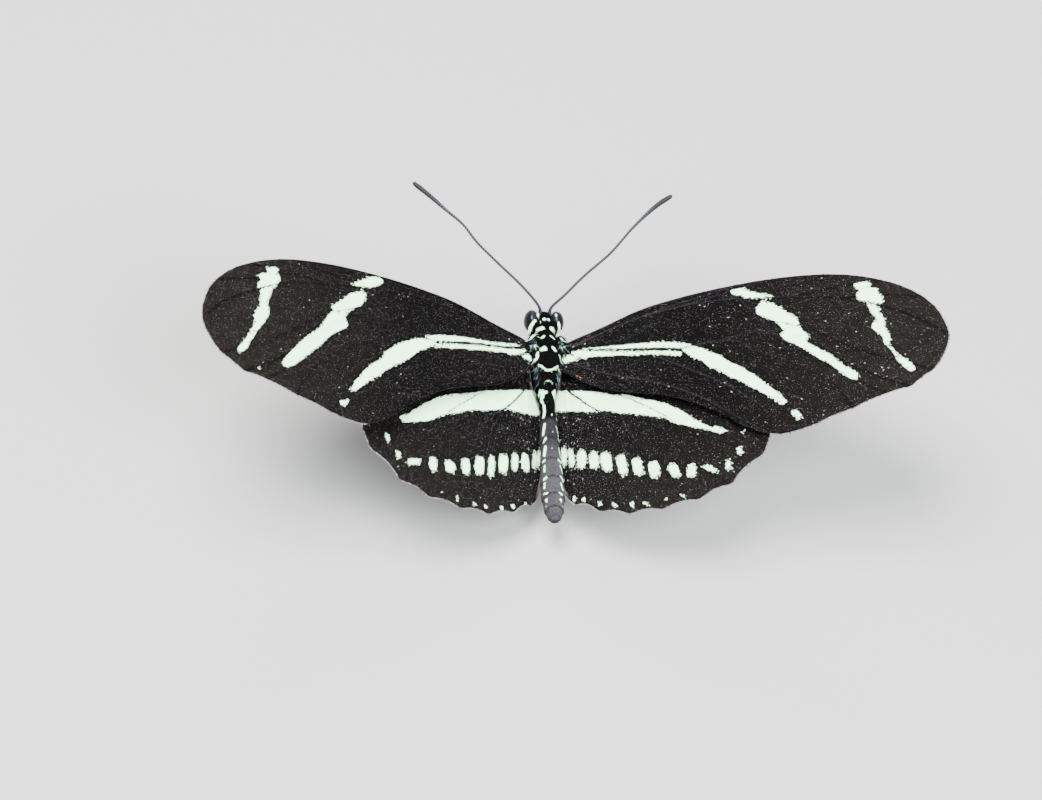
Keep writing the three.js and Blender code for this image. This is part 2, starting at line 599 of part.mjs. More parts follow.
for (const [sideName, pose] of Object.entries(WING_POSE)) {
  const { side } = pose;
  const onSide = (points) => (side > 0 ? points : mirrored(points));

  // Wings, in a frame turned about the hinge.
  const wings = new THREE.Group();
  wings.position.set(side * HINGE.x, HINGE.y, HINGE.z);
  wings.rotation.set(pose.pitch, -side * pose.raise, side * pose.sweep, "YXZ");
  wings.updateMatrix();
  body.add(wings);
  addWing(wings, `forewing_${sideName}`, "forewing", side, pose.foreSlide, 0, 0, 0, [thoraxRoom]);
  addWing(wings, `hindwing_${sideName}`, "hindwing", side, pose.hindSlide, -HINDWING_DROP,
    pose.hindPitch, pose.hindTurn, [thoraxRoom, abdomenRoom]);

  // The tegula, a pad over the forewing's root.
  const pad = { x: side * TEGULA.x, y: TEGULA.y, z: TEGULA.z };
  // It is trimmed by the wing swollen on every side that faces it.
  const thickWing = wingSolid("forewing", side, GAP);
  const foreSlide = new THREE.Matrix4().makeTranslation(side * pose.foreSlide[0], pose.foreSlide[1], 0);
  const forward = thickWing.translate([0, GAP, 0]);
  const inward = thickWing.translate([-side * GAP, 0, 0]);
  const wingRoom = moved(thickWing.add(forward).add(inward), wings.matrix.clone().multiply(foreSlide));
  const tegula = ellipsoid(pad, [TEGULA.halfWidth, TEGULA.halfLength, TEGULA.halfHeight], 12);
  addMesh(body, `tegula_${sideName}`, subtractAll(tegula, [thoraxRoom, wingRoom, collarRoom]), "body");

  // Head parts.
  addMesh(body, `eye_${sideName}`, eyeSolid(side), "eye");
  addMesh(body, `antenna_${sideName}`, antennaSolid(side).subtract(headRoom), "limb");
  const palp = taperedLimb(onSide(PALP.path), PALP.radii, 8, 8);
  addMesh(body, `palp_${sideName}`, palp.subtract(headRoom), "body");

  // Legs.
  const foreleg = taperedLimb(onSide(FORELEG.path), FORELEG.radii, 12, 8);
  addMesh(body, `foreleg_${sideName}`, subtractAll(foreleg, [collarRoom, thoraxRoom]), "limb");
  for (const [name, path] of Object.entries(LEGS)) {
    const leg = taperedLimb(onSide(path), LEG_RADII, 26, 8);
    addMesh(insect, `${name}_${sideName}`, subtractAll(leg, [thoraxRoomOverGround, ground]), "limb");
  }
}

// Centre the insect over the ground point under its bounding box.
const extent = new THREE.Box3().setFromObject(insect, true);
const centre = extent.getCenter(new THREE.Vector3());
insect.position.set(-centre.x, -centre.y, 0);
const model = new THREE.Group();
model.add(insect);

export default model;
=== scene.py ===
import math

import bpy
import numpy as np
from mathutils import Matrix, Vector
from mathutils.geometry import delaunay_2d_cdt


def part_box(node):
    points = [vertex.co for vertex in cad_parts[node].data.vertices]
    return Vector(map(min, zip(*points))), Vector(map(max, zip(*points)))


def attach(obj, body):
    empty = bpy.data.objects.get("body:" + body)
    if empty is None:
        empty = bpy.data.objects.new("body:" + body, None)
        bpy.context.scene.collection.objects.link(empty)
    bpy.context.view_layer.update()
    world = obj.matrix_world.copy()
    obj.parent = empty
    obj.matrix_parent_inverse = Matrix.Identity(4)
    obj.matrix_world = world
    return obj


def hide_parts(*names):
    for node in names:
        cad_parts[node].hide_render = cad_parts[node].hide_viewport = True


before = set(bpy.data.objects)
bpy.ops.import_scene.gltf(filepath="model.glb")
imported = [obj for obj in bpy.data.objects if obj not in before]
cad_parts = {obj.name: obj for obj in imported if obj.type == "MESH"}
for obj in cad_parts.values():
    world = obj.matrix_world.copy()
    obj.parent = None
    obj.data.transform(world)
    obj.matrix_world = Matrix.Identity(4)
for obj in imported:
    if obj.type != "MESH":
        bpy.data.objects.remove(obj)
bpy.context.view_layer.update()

# Shapes below are in millimetres in the body's own frame, whose origin is the middle of the thorax.
# X runs to the insect's right, Y to the head and Z up. toRow carries them to the row's frame.
stance = {"noseUp": math.radians(8), "eyeMiddle": (0, 6.53, 0.37)}

pale = (0.585, 0.97, 0.595)  # the bands and marks, on wings and trunk

# Membranes of the wings, as thin sheets inside the thicker solids. Angles are in degrees.
wingStyle = {
    "hinge": (2.3, 1.0, 1.6),
    "right": {
        "side": 1, "raise": 25, "pitch": 1.1, "sweep": 0.4,
        "foreSlide": (0.1, 0.05), "hindSlide": (0.1, 0.05), "hindTurn": 0, "hindPitch": 0,
    },
    "left": {
        "side": -1, "raise": 26.2, "pitch": -2, "sweep": -4.5,
        "foreSlide": (0.2, 0.3), "hindSlide": (0.03, 0.18), "hindTurn": 0.74, "hindPitch": 4.8,
    },
    "hindDrop": 1.05,
    "halfThickness": 0.06,
    "rootSwell": 0.22,  # thicker near the hinge, within this reach
    "rootReach": 2.2,
    "bow": 0.3,  # droop at this distance before and behind the plan's bowMiddle
    "bowSpan": 9.7,
    "troughFrom": 0.9,  # the inner edge dips from here inwards, over this width
    "troughWidth": 3.0,
    "outlineStep": 0.2,
    "rootEdge": -0.9,
    "field": 0.3,  # gap between the points of the sheet
    "fieldShift": 0.04,
    "rimGap": 0.14,
    "veinGap": 0.28,
    "veinStep": 0.28,
    "veinRows": (0.07, 0.16),  # rows of points on both sides of each vein
    "ridge": 0.075,
    "ridgeWidth": 0.11,
    "sag": 0.09,  # of the membrane between two veins, full at this distance from them
    "sagReach": 0.8,
    "sagMargin": 0.6,
    "unwrapSize": 46.0,
    "unwrapFrom": (3.5, 21),
    "unwrapHeight": 0.72,
    # Share of pale dust specks on each wing, which also sets how strong the painted vein sheen is.
    "dust": {"forewing_right": 1.0, "hindwing_right": 0.45, "forewing_left": 0.3, "hindwing_left": 0.35},
}

# Closed scales on the wings, in metres, above, below and round the outer rim.
wingCoat = {
    "above": {"Density": 4.6e7, "Length": 0.00026, "Width": 0.00014, "Lift": 0.00004, "Tilt": 0.05,
              "Scatter": 0.16, "Spread": 0.25, "Ragged": 0.15, "Seed": 3},
    "below": {"Density": 2.0e7, "Length": 0.00034, "Width": 0.0002, "Lift": 0.00004, "Tilt": 0.05,
              "Scatter": 0.16, "Spread": 0.25, "Ragged": 0.1, "Seed": 4},
    "fringe": {"Density": 3.2e8, "Length": 0.00018, "Width": 0.00006, "Lift": 0.00004, "Tilt": 0.0,
               "Scatter": 0.2, "Spread": 0.2, "Ragged": 0.0, "Seed": 6},
    "smallest": 0.75,  # share of the full size at the root, growing over this reach
    "fullAt": 12,
}

# Plans of the wings in their own plane: p runs out from the hinge, q runs forward.
forewing = {
    "bowMiddle": -3.5,
    "fanFrom": (4, 4),
    "brown": ((1, 0), 15, 36, 1.0),
    "fringe": ((22.0, 1.0), (3.0, 5.0)),
    "trough": 0,
    "scallop": 0.12,
    "rounding": 2,
    "edges": [
        [(-1.0, 1.4), (-0.2, 2.1), (3.8, 3.35), (8.5, 4.8), (13.1, 5.45), (18, 5.72), (22.5, 5.7),
         (27.2, 5.3), (31.5, 4.45), (35.6, 2.85), (38.8, 0.8), (41.0, -1.6), (42.15, -4.3), (42.25, -5.9),
         (41.3, -8.1), (40.2, -9.4)],
        [(40.2, -9.4), (37.6, -10.95)],
        [(37.6, -10.95), (34.9, -11.25)],
        [(34.9, -11.25), (31.2, -12.25)],
        [(31.2, -12.25), (27, -13.3)],
        [(27, -13.3), (24.5, -13.75), (22.8, -13.8)],
        [(22.8, -13.8), (20.8, -13.1), (19, -12.1), (16.8, -10.25), (14, -8.35), (11.2, -6.9),
         (8.6, -6.0), (5.6, -5.15), (3.5, -4.3), (1.6, -3.2), (0.2, -2.1), (-1.0, -1.2)],
        [(-1.0, -1.2), (-1.0, 1.4)],
    ],
    "veins": [
        [(-0.2, 2.0), (3.8, 3.2), (8.5, 4.65), (13.1, 5.3), (18, 5.57), (22.5, 5.55), (27.2, 5.15)],
        [(0, 1.5), (6, 3.2), (12, 4.5), (19.5, 5.6)],
        [(0, 1.2), (6.2, 3.3), (11, 4.05), (15.3, 4.2), (19.8, 3.75), (25.5, 2.8), (29.2, 2.0),
         (32.5, 0.9), (35.9, -0.8), (39.3, -2.9), (41.9, -5.2)],
        [(11, 4.05), (17, 4.7), (23.5, 5.6)],
        [(18, 4.0), (24, 4.3), (30, 4.8)],
        [(25, 2.85), (31, 3.0), (36.2, 2.7)],
        [(31, 1.5), (35.5, 0.9), (39.9, -0.3)],
        [(19.6, 3.8), (21.8, 0.9), (24.0, -0.2), (26.1, -1.0), (28.0, -2.2), (30.1, -3.8), (34.5, -6.6),
         (40.2, -9.4)],
        [(21.8, 0.9), (22.6, -0.9), (24.3, -1.35), (25.9, -2.1), (27.4, -3.2), (30.7, -6.5), (34.1, -9.0),
         (37.6, -10.95)],
        [(22.6, -0.9), (23.8, -2.2), (28.4, -6.1), (32.1, -9.3), (34.9, -11.25)],
        [(13.0, -1.3), (16.9, -1.1), (19.2, -1.7), (20.6, -2.9), (27.2, -7.0), (29.2, -9.0),
         (31.2, -12.25)],
        [(-0.2, 0.5), (3.6, 0.35), (8.2, -0.35), (12.8, -1.4), (14.7, -3.1), (16.3, -4.3), (18, -5.7),
         (20.4, -7.5), (24.3, -10.6), (27, -13.3)],
        [(8.2, -0.35), (10, -1.7), (14, -4.3), (19, -8.0), (21.8, -11.1), (23, -13.75)],
        [(22.6, -0.9), (19.5, -0.9), (16.9, -1.1), (13.8, -1.1), (12.8, -1.4)],
        [(0, -0.4), (4, -2.6), (9, -4.6), (14, -7.3), (18.3, -10.8), (21.3, -13.2)],
    ],
}
hindwing = {
    "bowMiddle": -9,
    "fanFrom": (-1, 1),
    "brown": ((0.35, -1), 9, 22, 0.75),
    "fringe": ((-2.6, 1.0), (-11.5, 2.0)),
    "trough": 0.8,
    "scallop": 0.42,
    "rounding": 4,
    "edges": [
        [(-1.4, -0.4), (-0.2, 0.5), (2.4, 1.3), (6, 1.0), (10, -0.6), (14, -3.6), (17.5, -7.2),
         (20.3, -10.6), (21.6, -12.8), (21.4, -13.8), (20.7, -15.45)],
        [(20.7, -15.45), (16.9, -18.3)],
        [(16.9, -18.3), (13.25, -19.45)],
        [(13.25, -19.45), (9.1, -19.85)],
        [(9.1, -19.85), (5.4, -19.75)],
        [(5.4, -19.75), (2.1, -18.85)],
        [(2.1, -18.85), (-0.6, -17.25)],
        [(-0.6, -17.25), (-1.6, -16.0), (-2.3, -14.1), (-2.8, -11.5), (-3.0, -8), (-2.9, -5.4),
         (-2.4, -3.4), (-1.8, -1.9), (-1.4, -0.4)],
    ],
    "veins": [
        [(-0.5, -0.8), (4, 0.0), (10, -2.2), (16, -7.0), (21.5, -13.2)],
        [(-0.5, -1.6), (2.5, -3.2), (5.2, -4.9), (7.9, -6.8), (10.4, -8.7), (14.6, -11.9),
         (20.7, -15.45)],
        [(7.9, -6.8), (10.8, -11.5), (13.8, -15.6), (16.9, -18.3)],
        [(7.9, -6.8), (5.6, -8.2), (9.6, -15.1), (13.25, -19.45)],
        [(2.8, -6.6), (4.6, -9.2), (6.0, -14), (9.1, -19.85)],
        [(-1.6, -1.3), (-0.4, -3.3), (1.2, -5.1), (2.8, -6.6), (5.6, -8.2)],
        [(2.0, -5.9), (2.4, -9.5), (3.2, -14), (5.4, -19.75)],
        [(1.2, -5.1), (0.7, -9), (0.4, -12.3), (2.1, -18.85)],
        [(-0.9, -2.6), (-0.9, -7), (-0.9, -12), (-0.6, -17.25)],
    ],
}

# Pale markings as outlines in the plan, for each wing on each side.
markings = {
    "forewing_right": [
        [(32.5, 2.9), (33.3, 3.0), (34.3, 2.7), (34.3, 2.2), (35.0, 1.8), (35.1, 1.2), (35.5, 0.3),
         (35.3, -0.1), (34.5, 0.1), (34.9, -0.6), (35.0, -1.3), (35.5, -2.2), (35.3, -2.9), (35.7, -3.9),
         (35.9, -4.8), (35.7, -5.1), (36.1, -5.9), (36.6, -7.0), (37.4, -7.7), (38.0, -8.5), (38.2, -9.1),
         (37.7, -9.1), (36.8, -8.1), (36.3, -7.3), (36.2, -6.7), (35.6, -5.7), (35.1, -4.8), (35.0, -4.1),
         (34.4, -3.5), (34.0, -2.6), (34.3, -2.3), (34.6, -2.0), (34.1, -1.1), (33.9, -0.2), (33.7, 0.3),
         (32.9, 0.7), (32.7, 1.6), (33.0, 2.1), (32.5, 2.5)],
        [(18.8, 5.1), (19.5, 5.2), (20.5, 4.8), (21.0, 4.4), (22.3, 3.9), (23.3, 3.4), (22.9, 3.1),
         (21.9, 3.4), (21.1, 3.5), (20.3, 3.8), (19.6, 4.4), (19.0, 4.4)],
        [(21.5, 2.3), (22.0, 2.8), (22.8, 2.7), (23.8, 2.0), (24.4, 1.4), (25.0, 0.8), (25.9, -0.1),
         (26.0, -0.8), (26.4, -1.7), (27.0, -2.6), (26.6, -3.1), (27.4, -3.8), (28.3, -4.6), (29.4, -5.6),
         (30.4, -6.8), (31.4, -7.7), (32.0, -8.5), (31.8, -9.0), (31.2, -8.7), (30.3, -7.9), (29.3, -6.7),
         (27.9, -5.5), (26.7, -4.3), (25.5, -3.3), (24.4, -2.5), (23.9, -1.6), (24.3, -1.4), (24.1, -0.8),
         (23.3, 0.1), (22.8, 0.5), (22.1, 1.0), (21.5, 1.6)],
        [(12.9, -1.3), (13.8, -1.2), (15.1, -1.6), (15.6, -2.1), (16.7, -2.7), (17.9, -3.8), (19.5, -5.1),
         (20.7, -6.2), (21.9, -7.6), (23.1, -8.9), (23.9, -10.2), (23.5, -10.4), (22.7, -9.7),
         (21.5, -8.6), (20.0, -7.4), (18.7, -6.3), (17.8, -5.8), (17.4, -5.2), (16.6, -4.7), (15.6, -4.0),
         (15.0, -3.2), (14.1, -2.6), (13.2, -1.8)],
        [(1.1, 1.1), (2.5, 1.0), (5.5, 0.7), (7.8, 0.5), (9.7, 0.25), (11.5, -0.1), (13.2, -0.6),
         (14.0, -0.95), (13.4, -1.1), (12.5, -1.05), (10.6, -0.6), (7.6, -0.05), (5.5, 0.3), (2.5, 0.8)],
        [(0.2, 0.9), (2.1, 0.65), (6.8, -0.3), (11.5, -1.25), (12.3, -1.5), (12.7, -1.75), (12.7, -2.0),
         (11.4, -1.7), (8.7, -1.1), (4.9, -0.45), (2.3, -0.1), (1.7, -0.25), (1.1, 0.1), (0.3, 0.75)],
        [(-0.6, 0.5), (-0.2, 0.55), (0.3, 0.4), (1.1, -0.2), (0.7, -0.35), (-0.4, -0.4), (-0.7, 0.0)],
        [(24.4, -11.2), (24.9, -11.3), (25.4, -12.2), (25.0, -12.4), (24.4, -11.8)],
    ],
    "forewing_left": [
        [(33.4, 2.7), (32.4, 3.2), (31.9, 3.1), (32.1, 2.5), (31.8, 2.2), (32.0, 1.5), (32.5, 0.7),
         (33.0, 0.2), (33.3, -0.5), (33.7, -1.5), (33.9, -1.9), (33.7, -2.3), (33.8, -3.1), (34.2, -3.9),
         (35.1, -5.0), (35.9, -6.2), (36.6, -7.3), (37.1, -8.2), (37.9, -8.8), (38.3, -8.8), (38.2, -8.4),
         (37.3, -7.3), (36.5, -6.0), (35.9, -5.0), (35.5, -4.2), (35.8, -4.0), (35.4, -3.2), (34.9, -2.5),
         (34.7, -1.8), (34.6, -1.0), (34.5, -0.2), (34.9, 0.1), (34.4, 0.9), (34.6, 1.6), (33.4, 2.2)],
        [(22.5, 3.6), (21.6, 4.1), (20.4, 4.8), (19.5, 5.3), (18.6, 5.4), (18.1, 5.2), (18.5, 4.6),
         (19.6, 4.0), (20.6, 3.6), (21.7, 3.5)],
        [(21.8, 2.7), (21.0, 3.1), (20.7, 2.8), (20.9, 2.2), (21.5, 1.3), (22.7, 0.4), (23.7, -0.7),
         (24.0, -1.2), (23.7, -1.5), (23.9, -2.3), (25.0, -3.0), (26.5, -4.2), (27.7, -5.5), (28.9, -6.6),
         (30.3, -7.9), (31.7, -9.0), (32.4, -9.2), (32.7, -8.9), (32.4, -8.2), (31.6, -7.3), (30.3, -5.9),
         (28.9, -4.5), (27.5, -3.3), (27.0, -2.7), (26.4, -1.7), (25.9, -1.0), (25.3, -0.5), (25.6, -0.2),
         (24.4, 0.8), (23.1, 2.0), (22.4, 2.5)],
        [(14.3, -1.4), (13.3, -1.2), (12.1, -1.2), (12.6, -1.8), (13.7, -2.5), (14.9, -3.2), (15.7, -4.0),
         (16.8, -4.8), (18.4, -5.9), (19.7, -6.8), (20.1, -7.3), (21.3, -8.1), (22.5, -9.1),
         (23.5, -10.0), (24.2, -10.2), (23.9, -9.5), (23.2, -8.6), (21.9, -7.1), (20.5, -5.7),
         (19.4, -4.9), (19.2, -4.3), (17.7, -3.1), (16.5, -2.3), (15.3, -1.7)],
        [(13.7, -0.9), (12.9, -0.6), (11.8, -0.25), (10.0, 0.1), (8.2, 0.4), (6.5, 0.55), (4.7, 0.65),
         (2.2, 0.98), (0.4, 1.2), (1.6, 0.74), (3.0, 0.5), (4.8, 0.3), (8.3, -0.25), (10.1, -0.65),
         (11.9, -1.05), (12.6, -1.1), (13.1, -0.95)],
        [(11.9, -1.45), (10.2, -1.05), (8.4, -0.65), (6.0, -0.2), (3.6, 0.1), (1.9, 0.3), (0.7, 0.45),
         (-0.3, 0.75), (0.1, 0.4), (1.0, -0.1), (1.6, -0.35), (2.2, -0.25), (5.5, -0.65), (7.9, -1.05),
         (10.2, -1.5), (12.4, -1.85)],
        [(0.7, -0.4), (0.0, 0.0), (-0.6, 0.25), (-0.7, -0.2), (-0.5, -0.7), (0.1, -0.6)],
        [(25.8, -11.9), (25.5, -11.6), (25.1, -11.6), (24.7, -11.2), (24.5, -11.4), (24.7, -11.8),
         (25.2, -12.2), (25.6, -12.3)],
    ],
    "hindwing_right": [
        [(-3.3, -2.0), (-2.2, -2.4), (0.1, -3.3), (2.8, -4.1), (4.7, -4.9), (6.0, -5.1), (7.7, -5.9),
         (9.6, -6.7), (10.9, -7.5), (12.1, -8.4), (13.4, -9.6), (14.9, -10.8), (16.2, -11.2),
         (16.8, -11.8), (16.4, -12.0), (15.8, -11.8), (14.9, -11.3), (13.0, -10.5), (11.4, -9.8),
         (11.1, -9.5), (9.8, -8.8), (8.2, -8.1), (6.6, -7.6), (4.9, -7.1), (3.3, -6.5), (1.7, -6.4),
         (-2.1, -5.0), (-3.3, -4.5)],
    ],
    "hindwing_left": [
        [(-4.1, -1.9), (0.2, -3.5), (2.7, -4.2), (5.1, -4.9), (7.9, -5.9), (9.7, -6.4), (11.1, -7.0),
         (13.1, -8.2), (14.5, -9.3), (15.5, -10.1), (16.4, -10.5), (16.8, -10.8), (16.3, -11.2),
         (14.4, -10.8), (13.2, -10.4), (12.0, -9.8), (10.8, -9.1), (10.3, -9.0), (9.3, -8.6), (7.3, -7.7),
         (5.3, -7.3), (2.5, -6.5), (0.5, -6.3), (-3.8, -4.9)],
    ],
}

# Oval spots: middle p and q, half width, half length and lean in degrees.
spots = {
    "forewing_right": [],
    "forewing_left": [(35.6, -10.2, 0.2, 0.25, 20)],
    "hindwing_right": [
        (-1.6, -11.0, 0.35, 1.05, 1), (-0.7, -11.5, 0.36, 1.1, -5), (0.5, -12.1, 0.58, 1.08, 1),
        (1.9, -12.5, 0.56, 1.02, -1), (3.3, -12.9, 0.64, 1.1, -7), (5.0, -13.6, 0.57, 1.2, -7),
        (6.7, -14.2, 0.57, 1.03, -10), (8.5, -14.9, 0.66, 0.9, -4), (10.7, -15.4, 0.58, 0.88, -23),
        (12.6, -15.8, 0.56, 0.71, 5), (14.7, -16.0, 0.32, 0.75, -56), (16.7, -15.9, 0.32, 0.56, 5),
        (18.1, -14.5, 0.32, 0.42, -6), (18.7, -12.15, 0.14, 0.3, 30), (-0.7, -16.5, 0.22, 0.29, 5),
        (0.4, -17.0, 0.29, 0.33, 4), (2.2, -17.8, 0.27, 0.33, 4), (3.8, -18.3, 0.24, 0.4, -46),
        (5.8, -18.6, 0.3, 0.3, 4), (7.3, -18.8, 0.2, 0.38, -55), (9.6, -18.7, 0.15, 0.25, -88),
        (11.5, -18.7, 0.15, 0.34, -54),
    ],
    "hindwing_left": [
        (-2.2, -11.1, 0.27, 1.03, -10), (-1.45, -11.5, 0.4, 1.08, -12), (0.2, -12.4, 0.72, 1.05, -5),
        (1.7, -12.7, 0.47, 1.02, -6), (3.3, -13.3, 0.66, 1.1, -7), (4.9, -13.9, 0.45, 1.18, -8),
        (6.5, -14.2, 0.64, 1.05, -7), (8.3, -14.7, 0.6, 0.9, -2), (10.4, -15.2, 0.72, 0.7, -2),
        (12.6, -15.4, 0.58, 0.75, -2), (15.1, -15.7, 0.4, 0.85, -73), (17.1, -15.3, 0.36, 0.46, 20),
        (18.45, -13.7, 0.27, 0.42, 10), (0.5, -17.5, 0.2, 0.36, -19), (2.2, -18.1, 0.24, 0.27, -2),
        (3.7, -18.6, 0.33, 0.3, 5), (5.8, -18.9, 0.26, 0.28, 32), (7.3, -18.9, 0.26, 0.28, 37),
        (9.5, -18.7, 0.2, 0.28, 28), (11.4, -18.5, 0.14, 0.15, 0),
    ],
}
# How the spots are drawn: squareness, share of the half width, and the share kept by those under a size.
spotStyle = {"power": 3.2, "widthShare": 0.88, "smallUnder": 0.41, "smallShare": 0.8}

# Dark lines that cut the pale markings: a half width and a line in the plan.
darkLines = {
    "forewing": [
        (0.07, [(15.3, 4.2), (19.8, 3.75), (25.5, 2.8), (29.2, 2.0), (32.5, 0.9), (33.9, 0.25),
                (35.9, -0.8)]),
        (0.045, [(22.5, 0.5), (24.0, -0.2), (25.9, -1.0), (28.0, -2.2)]),
        (0.03, [(34.0, -4.9), (35.6, -5.6), (37.0, -6.4)]),
        (0.02, [(30.5, 2.25), (35.5, 2.25)]),
    ],
    "forewing_right": [
        (0.16, [(1.1, 1.05), (2.5, 0.69), (5.5, 0.12), (7.6, -0.25), (10.6, -0.85), (12.6, -1.3)]),
    ],
    "forewing_left": [
        (0.14, [(1.2, 0.72), (3.3, 0.3), (6.0, -0.02), (8.4, -0.45), (10.1, -0.85), (12.0, -1.25)]),
    ],
    "hindwing": [
        (0.045, [(10.4, -8.8), (7.9, -6.8), (5.0, -4.8)]),
        (0.12, [(3.2, -7.0), (2.8, -6.6), (1.2, -5.1), (-0.4, -3.3), (-0.9, -2.6)]),
        (0.06, [(-1.15, -8), (-1.15, -14)]),
    ],
}

# Small red dashes near the root of each forewing: a half width and two ends.
rootReds = {
    "forewing_right": [(0.07, [(0.8, -2.2), (1.3, -2.6)]), (0.05, [(2.2, 2.55), (2.35, 2.6)])],
    "forewing_left": [(0.05, [(1.1, -2.76), (1.35, -2.96)]), (0.05, [(1.8, 2.3), (1.95, 2.35)])],
}


def turn(angle, axis):
    return Matrix.Rotation(angle, 4, axis)


def placeOfBody():
    low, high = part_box("eye_right")
    lowLeft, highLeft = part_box("eye_left")
    middle = (low + high + lowLeft + highLeft) / 4
    tilt = turn(stance["noseUp"], "X")
    middle = middle - (tilt @ Vector(stance["eyeMiddle"])) * 0.001
    return Matrix.Translation(middle) @ tilt @ Matrix.Scale(0.001, 4)


toRow = placeOfBody()


def throughMatrix(matrix, points):
    whole = np.array(matrix)
    return points @ whole[:3, :3].T + whole[:3, 3]


# Directions in the row's frame, in the length of the millimetres they were given in.
def turnedOnly(matrix, directions):
    return directions @ np.array(matrix)[:3, :3].T * 1000


def addToScene(name, data):
    thing = bpy.data.objects.new(name, data)
    bpy.context.scene.collection.objects.link(thing)
    return thing


def addPiece(name, mesh, material, nodes, smooth=True):
    piece = addToScene(name, mesh)
    if material:
        mesh.materials.clear()
        mesh.materials.append(material)
    if smooth:
        mesh.polygons.foreach_set("use_smooth", [True] * len(mesh.polygons))
    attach(piece, "root")
    if nodes:
        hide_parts(*nodes)
    print(name, len(mesh.polygons), "faces")
    return piece


def meshOf(name, points, faces):
    mesh = bpy.data.meshes.new(name)
    mesh.from_pydata([tuple(p) for p in points], [], faces)
    mesh.validate()
    mesh.update()
    return mesh


def evaluatedMesh(thing):
    graph = bpy.context.evaluated_depsgraph_get()
    return bpy.data.meshes.new_from_object(thing.evaluated_get(graph), depsgraph=graph)


def storePoints(mesh, name, values):
    values = np.asarray(values, float)
    kind = "FLOAT" if values.ndim == 1 else "FLOAT_VECTOR"
    attribute = mesh.attributes.new(name, kind, "POINT")
    attribute.data.foreach_set("value" if values.ndim == 1 else "vector", values.ravel())


def pointValues(mesh, name):
    values = np.zeros(len(mesh.vertices))
    mesh.attributes[name].data.foreach_get("value", values)
    return values


# The unwrap of a skin or a sheet: its own UV map, and an attribute that its coat reads.
def storeUnwrap(mesh, uv):
    layer = mesh.uv_layers.new(name="OFBake")
    corners = np.zeros(len(mesh.loops), int)
    mesh.loops.foreach_get("vertex_index", corners)
    layer.data.foreach_set("uv", uv[corners].ravel())
    storePoints(mesh, "plan", np.column_stack([uv, np.zeros(len(uv))]))


# Smooth line through points, with about one point to each step.
def smoothLine(points, step):
    points = np.array(points, float)
    if len(points) == 2:
        count = max(2, round(np.linalg.norm(points[1] - points[0]) / step))
        share = np.linspace(0, 1, count + 1)[:, None]
        return points[0] + share * (points[1] - points[0])
    padded = np.vstack([2 * points[0] - points[1], points, 2 * points[-1] - points[-2]])
    line = []
    for a, b, c, d in zip(padded, padded[1:], padded[2:], padded[3:]):
        gaps = [max(np.linalg.norm(v) ** 0.5, 1e-4) for v in (b - a, c - b, d - c)]
        start = ((b - a) / gaps[0] - (c - a) / (gaps[0] + gaps[1]) + (c - b) / gaps[1]) * gaps[1]
        end = ((c - b) / gaps[1] - (d - b) / (gaps[1] + gaps[2]) + (d - c) / gaps[2]) * gaps[1]
        count = max(1, round(np.linalg.norm(c - b) / step))
        t = (np.arange(count) / count)[:, None]
        line.append((2 * t**3 - 3 * t**2 + 1) * b + (t**3 - 2 * t**2 + t) * start
                    + (-2 * t**3 + 3 * t**2) * c + (t**3 - t**2) * end)
    return np.vstack(line + [points[-1:]])


# The same line with a number of evenly spaced points.
def evenly(line, count):
    steps = np.concatenate([[0], np.cumsum(np.linalg.norm(np.diff(line, axis=0), axis=1))])
    at = np.linspace(0, steps[-1], count)
    return np.stack([np.interp(at, steps, line[:, i]) for i in range(line.shape[1])], 1)


# Distance of each point from a line, how far along the line it is, and the line's direction there.
def fromLine(points, line):
    best = np.full(len(points), 1e9)
    share = np.zeros(len(points))
    heading = np.zeros((len(points), line.shape[1]))
    for index in range(len(line) - 1):
        start, span = line[index], line[index + 1] - line[index]
        length = max(span @ span, 1e-12)
        t = np.clip(((points - start) @ span) / length, 0, 1)
        distance = np.linalg.norm(points - start - t[:, None] * span, axis=1)
        nearer = distance < best
        best[nearer] = distance[nearer]
        share[nearer] = (index + t[nearer]) / (len(line) - 1)
        heading[nearer] = span / math.sqrt(length)
    return best, share, heading


def isInside(points, outline):
    inside = np.zeros(len(points), bool)
    for start, end in zip(outline, np.roll(outline, -1, axis=0)):
        if start[1] == end[1]:
            continue
        crosses = (start[1] > points[:, 1]) != (end[1] > points[:, 1])
        at = (end[0] - start[0]) * (points[:, 1] - start[1]) / (end[1] - start[1]) + start[0]
        inside ^= crosses & (points[:, 0] < at)
    return inside


# Signed distance inside a closed outline.
def depthInside(points, outline):
    closed = np.vstack([outline, outline[:1]])
    distance = fromLine(points, closed)[0]
    return np.where(isInside(points, outline), distance, -distance)


def smoothStep(value):
    value = np.clip(value, 0, 1)
    return value * value * (3 - 2 * value)


# A wing's rim: an edge of two points becomes a hollow scallop, apart from the one across the root.
def wingOutline(plan):
    runs, eases = [], []
    for edge in plan["edges"]:
        line = smoothLine(edge, wingStyle["outlineStep"])
        isScallop = len(edge) == 2
        if isScallop and edge[0][0] > wingStyle["rootEdge"]:
            span = line[-1] - line[0]
            inward = np.array([span[1], -span[0]]) / np.linalg.norm(span)
            line = line + np.sin(np.linspace(0, np.pi, len(line)))[:, None] * inward * plan["scallop"]
        runs.append(line[:-1])
        eases.append(np.full(len(line) - 1, float(isScallop)))
    outline = np.vstack(runs)
    eases = np.concatenate(eases)[:, None]
    for _ in range(plan["rounding"]):
        eased = (np.roll(outline, 1, axis=0) + outline + np.roll(outline, -1, axis=0)) / 3
        outline = outline + (eased - outline) * eases
    return outline


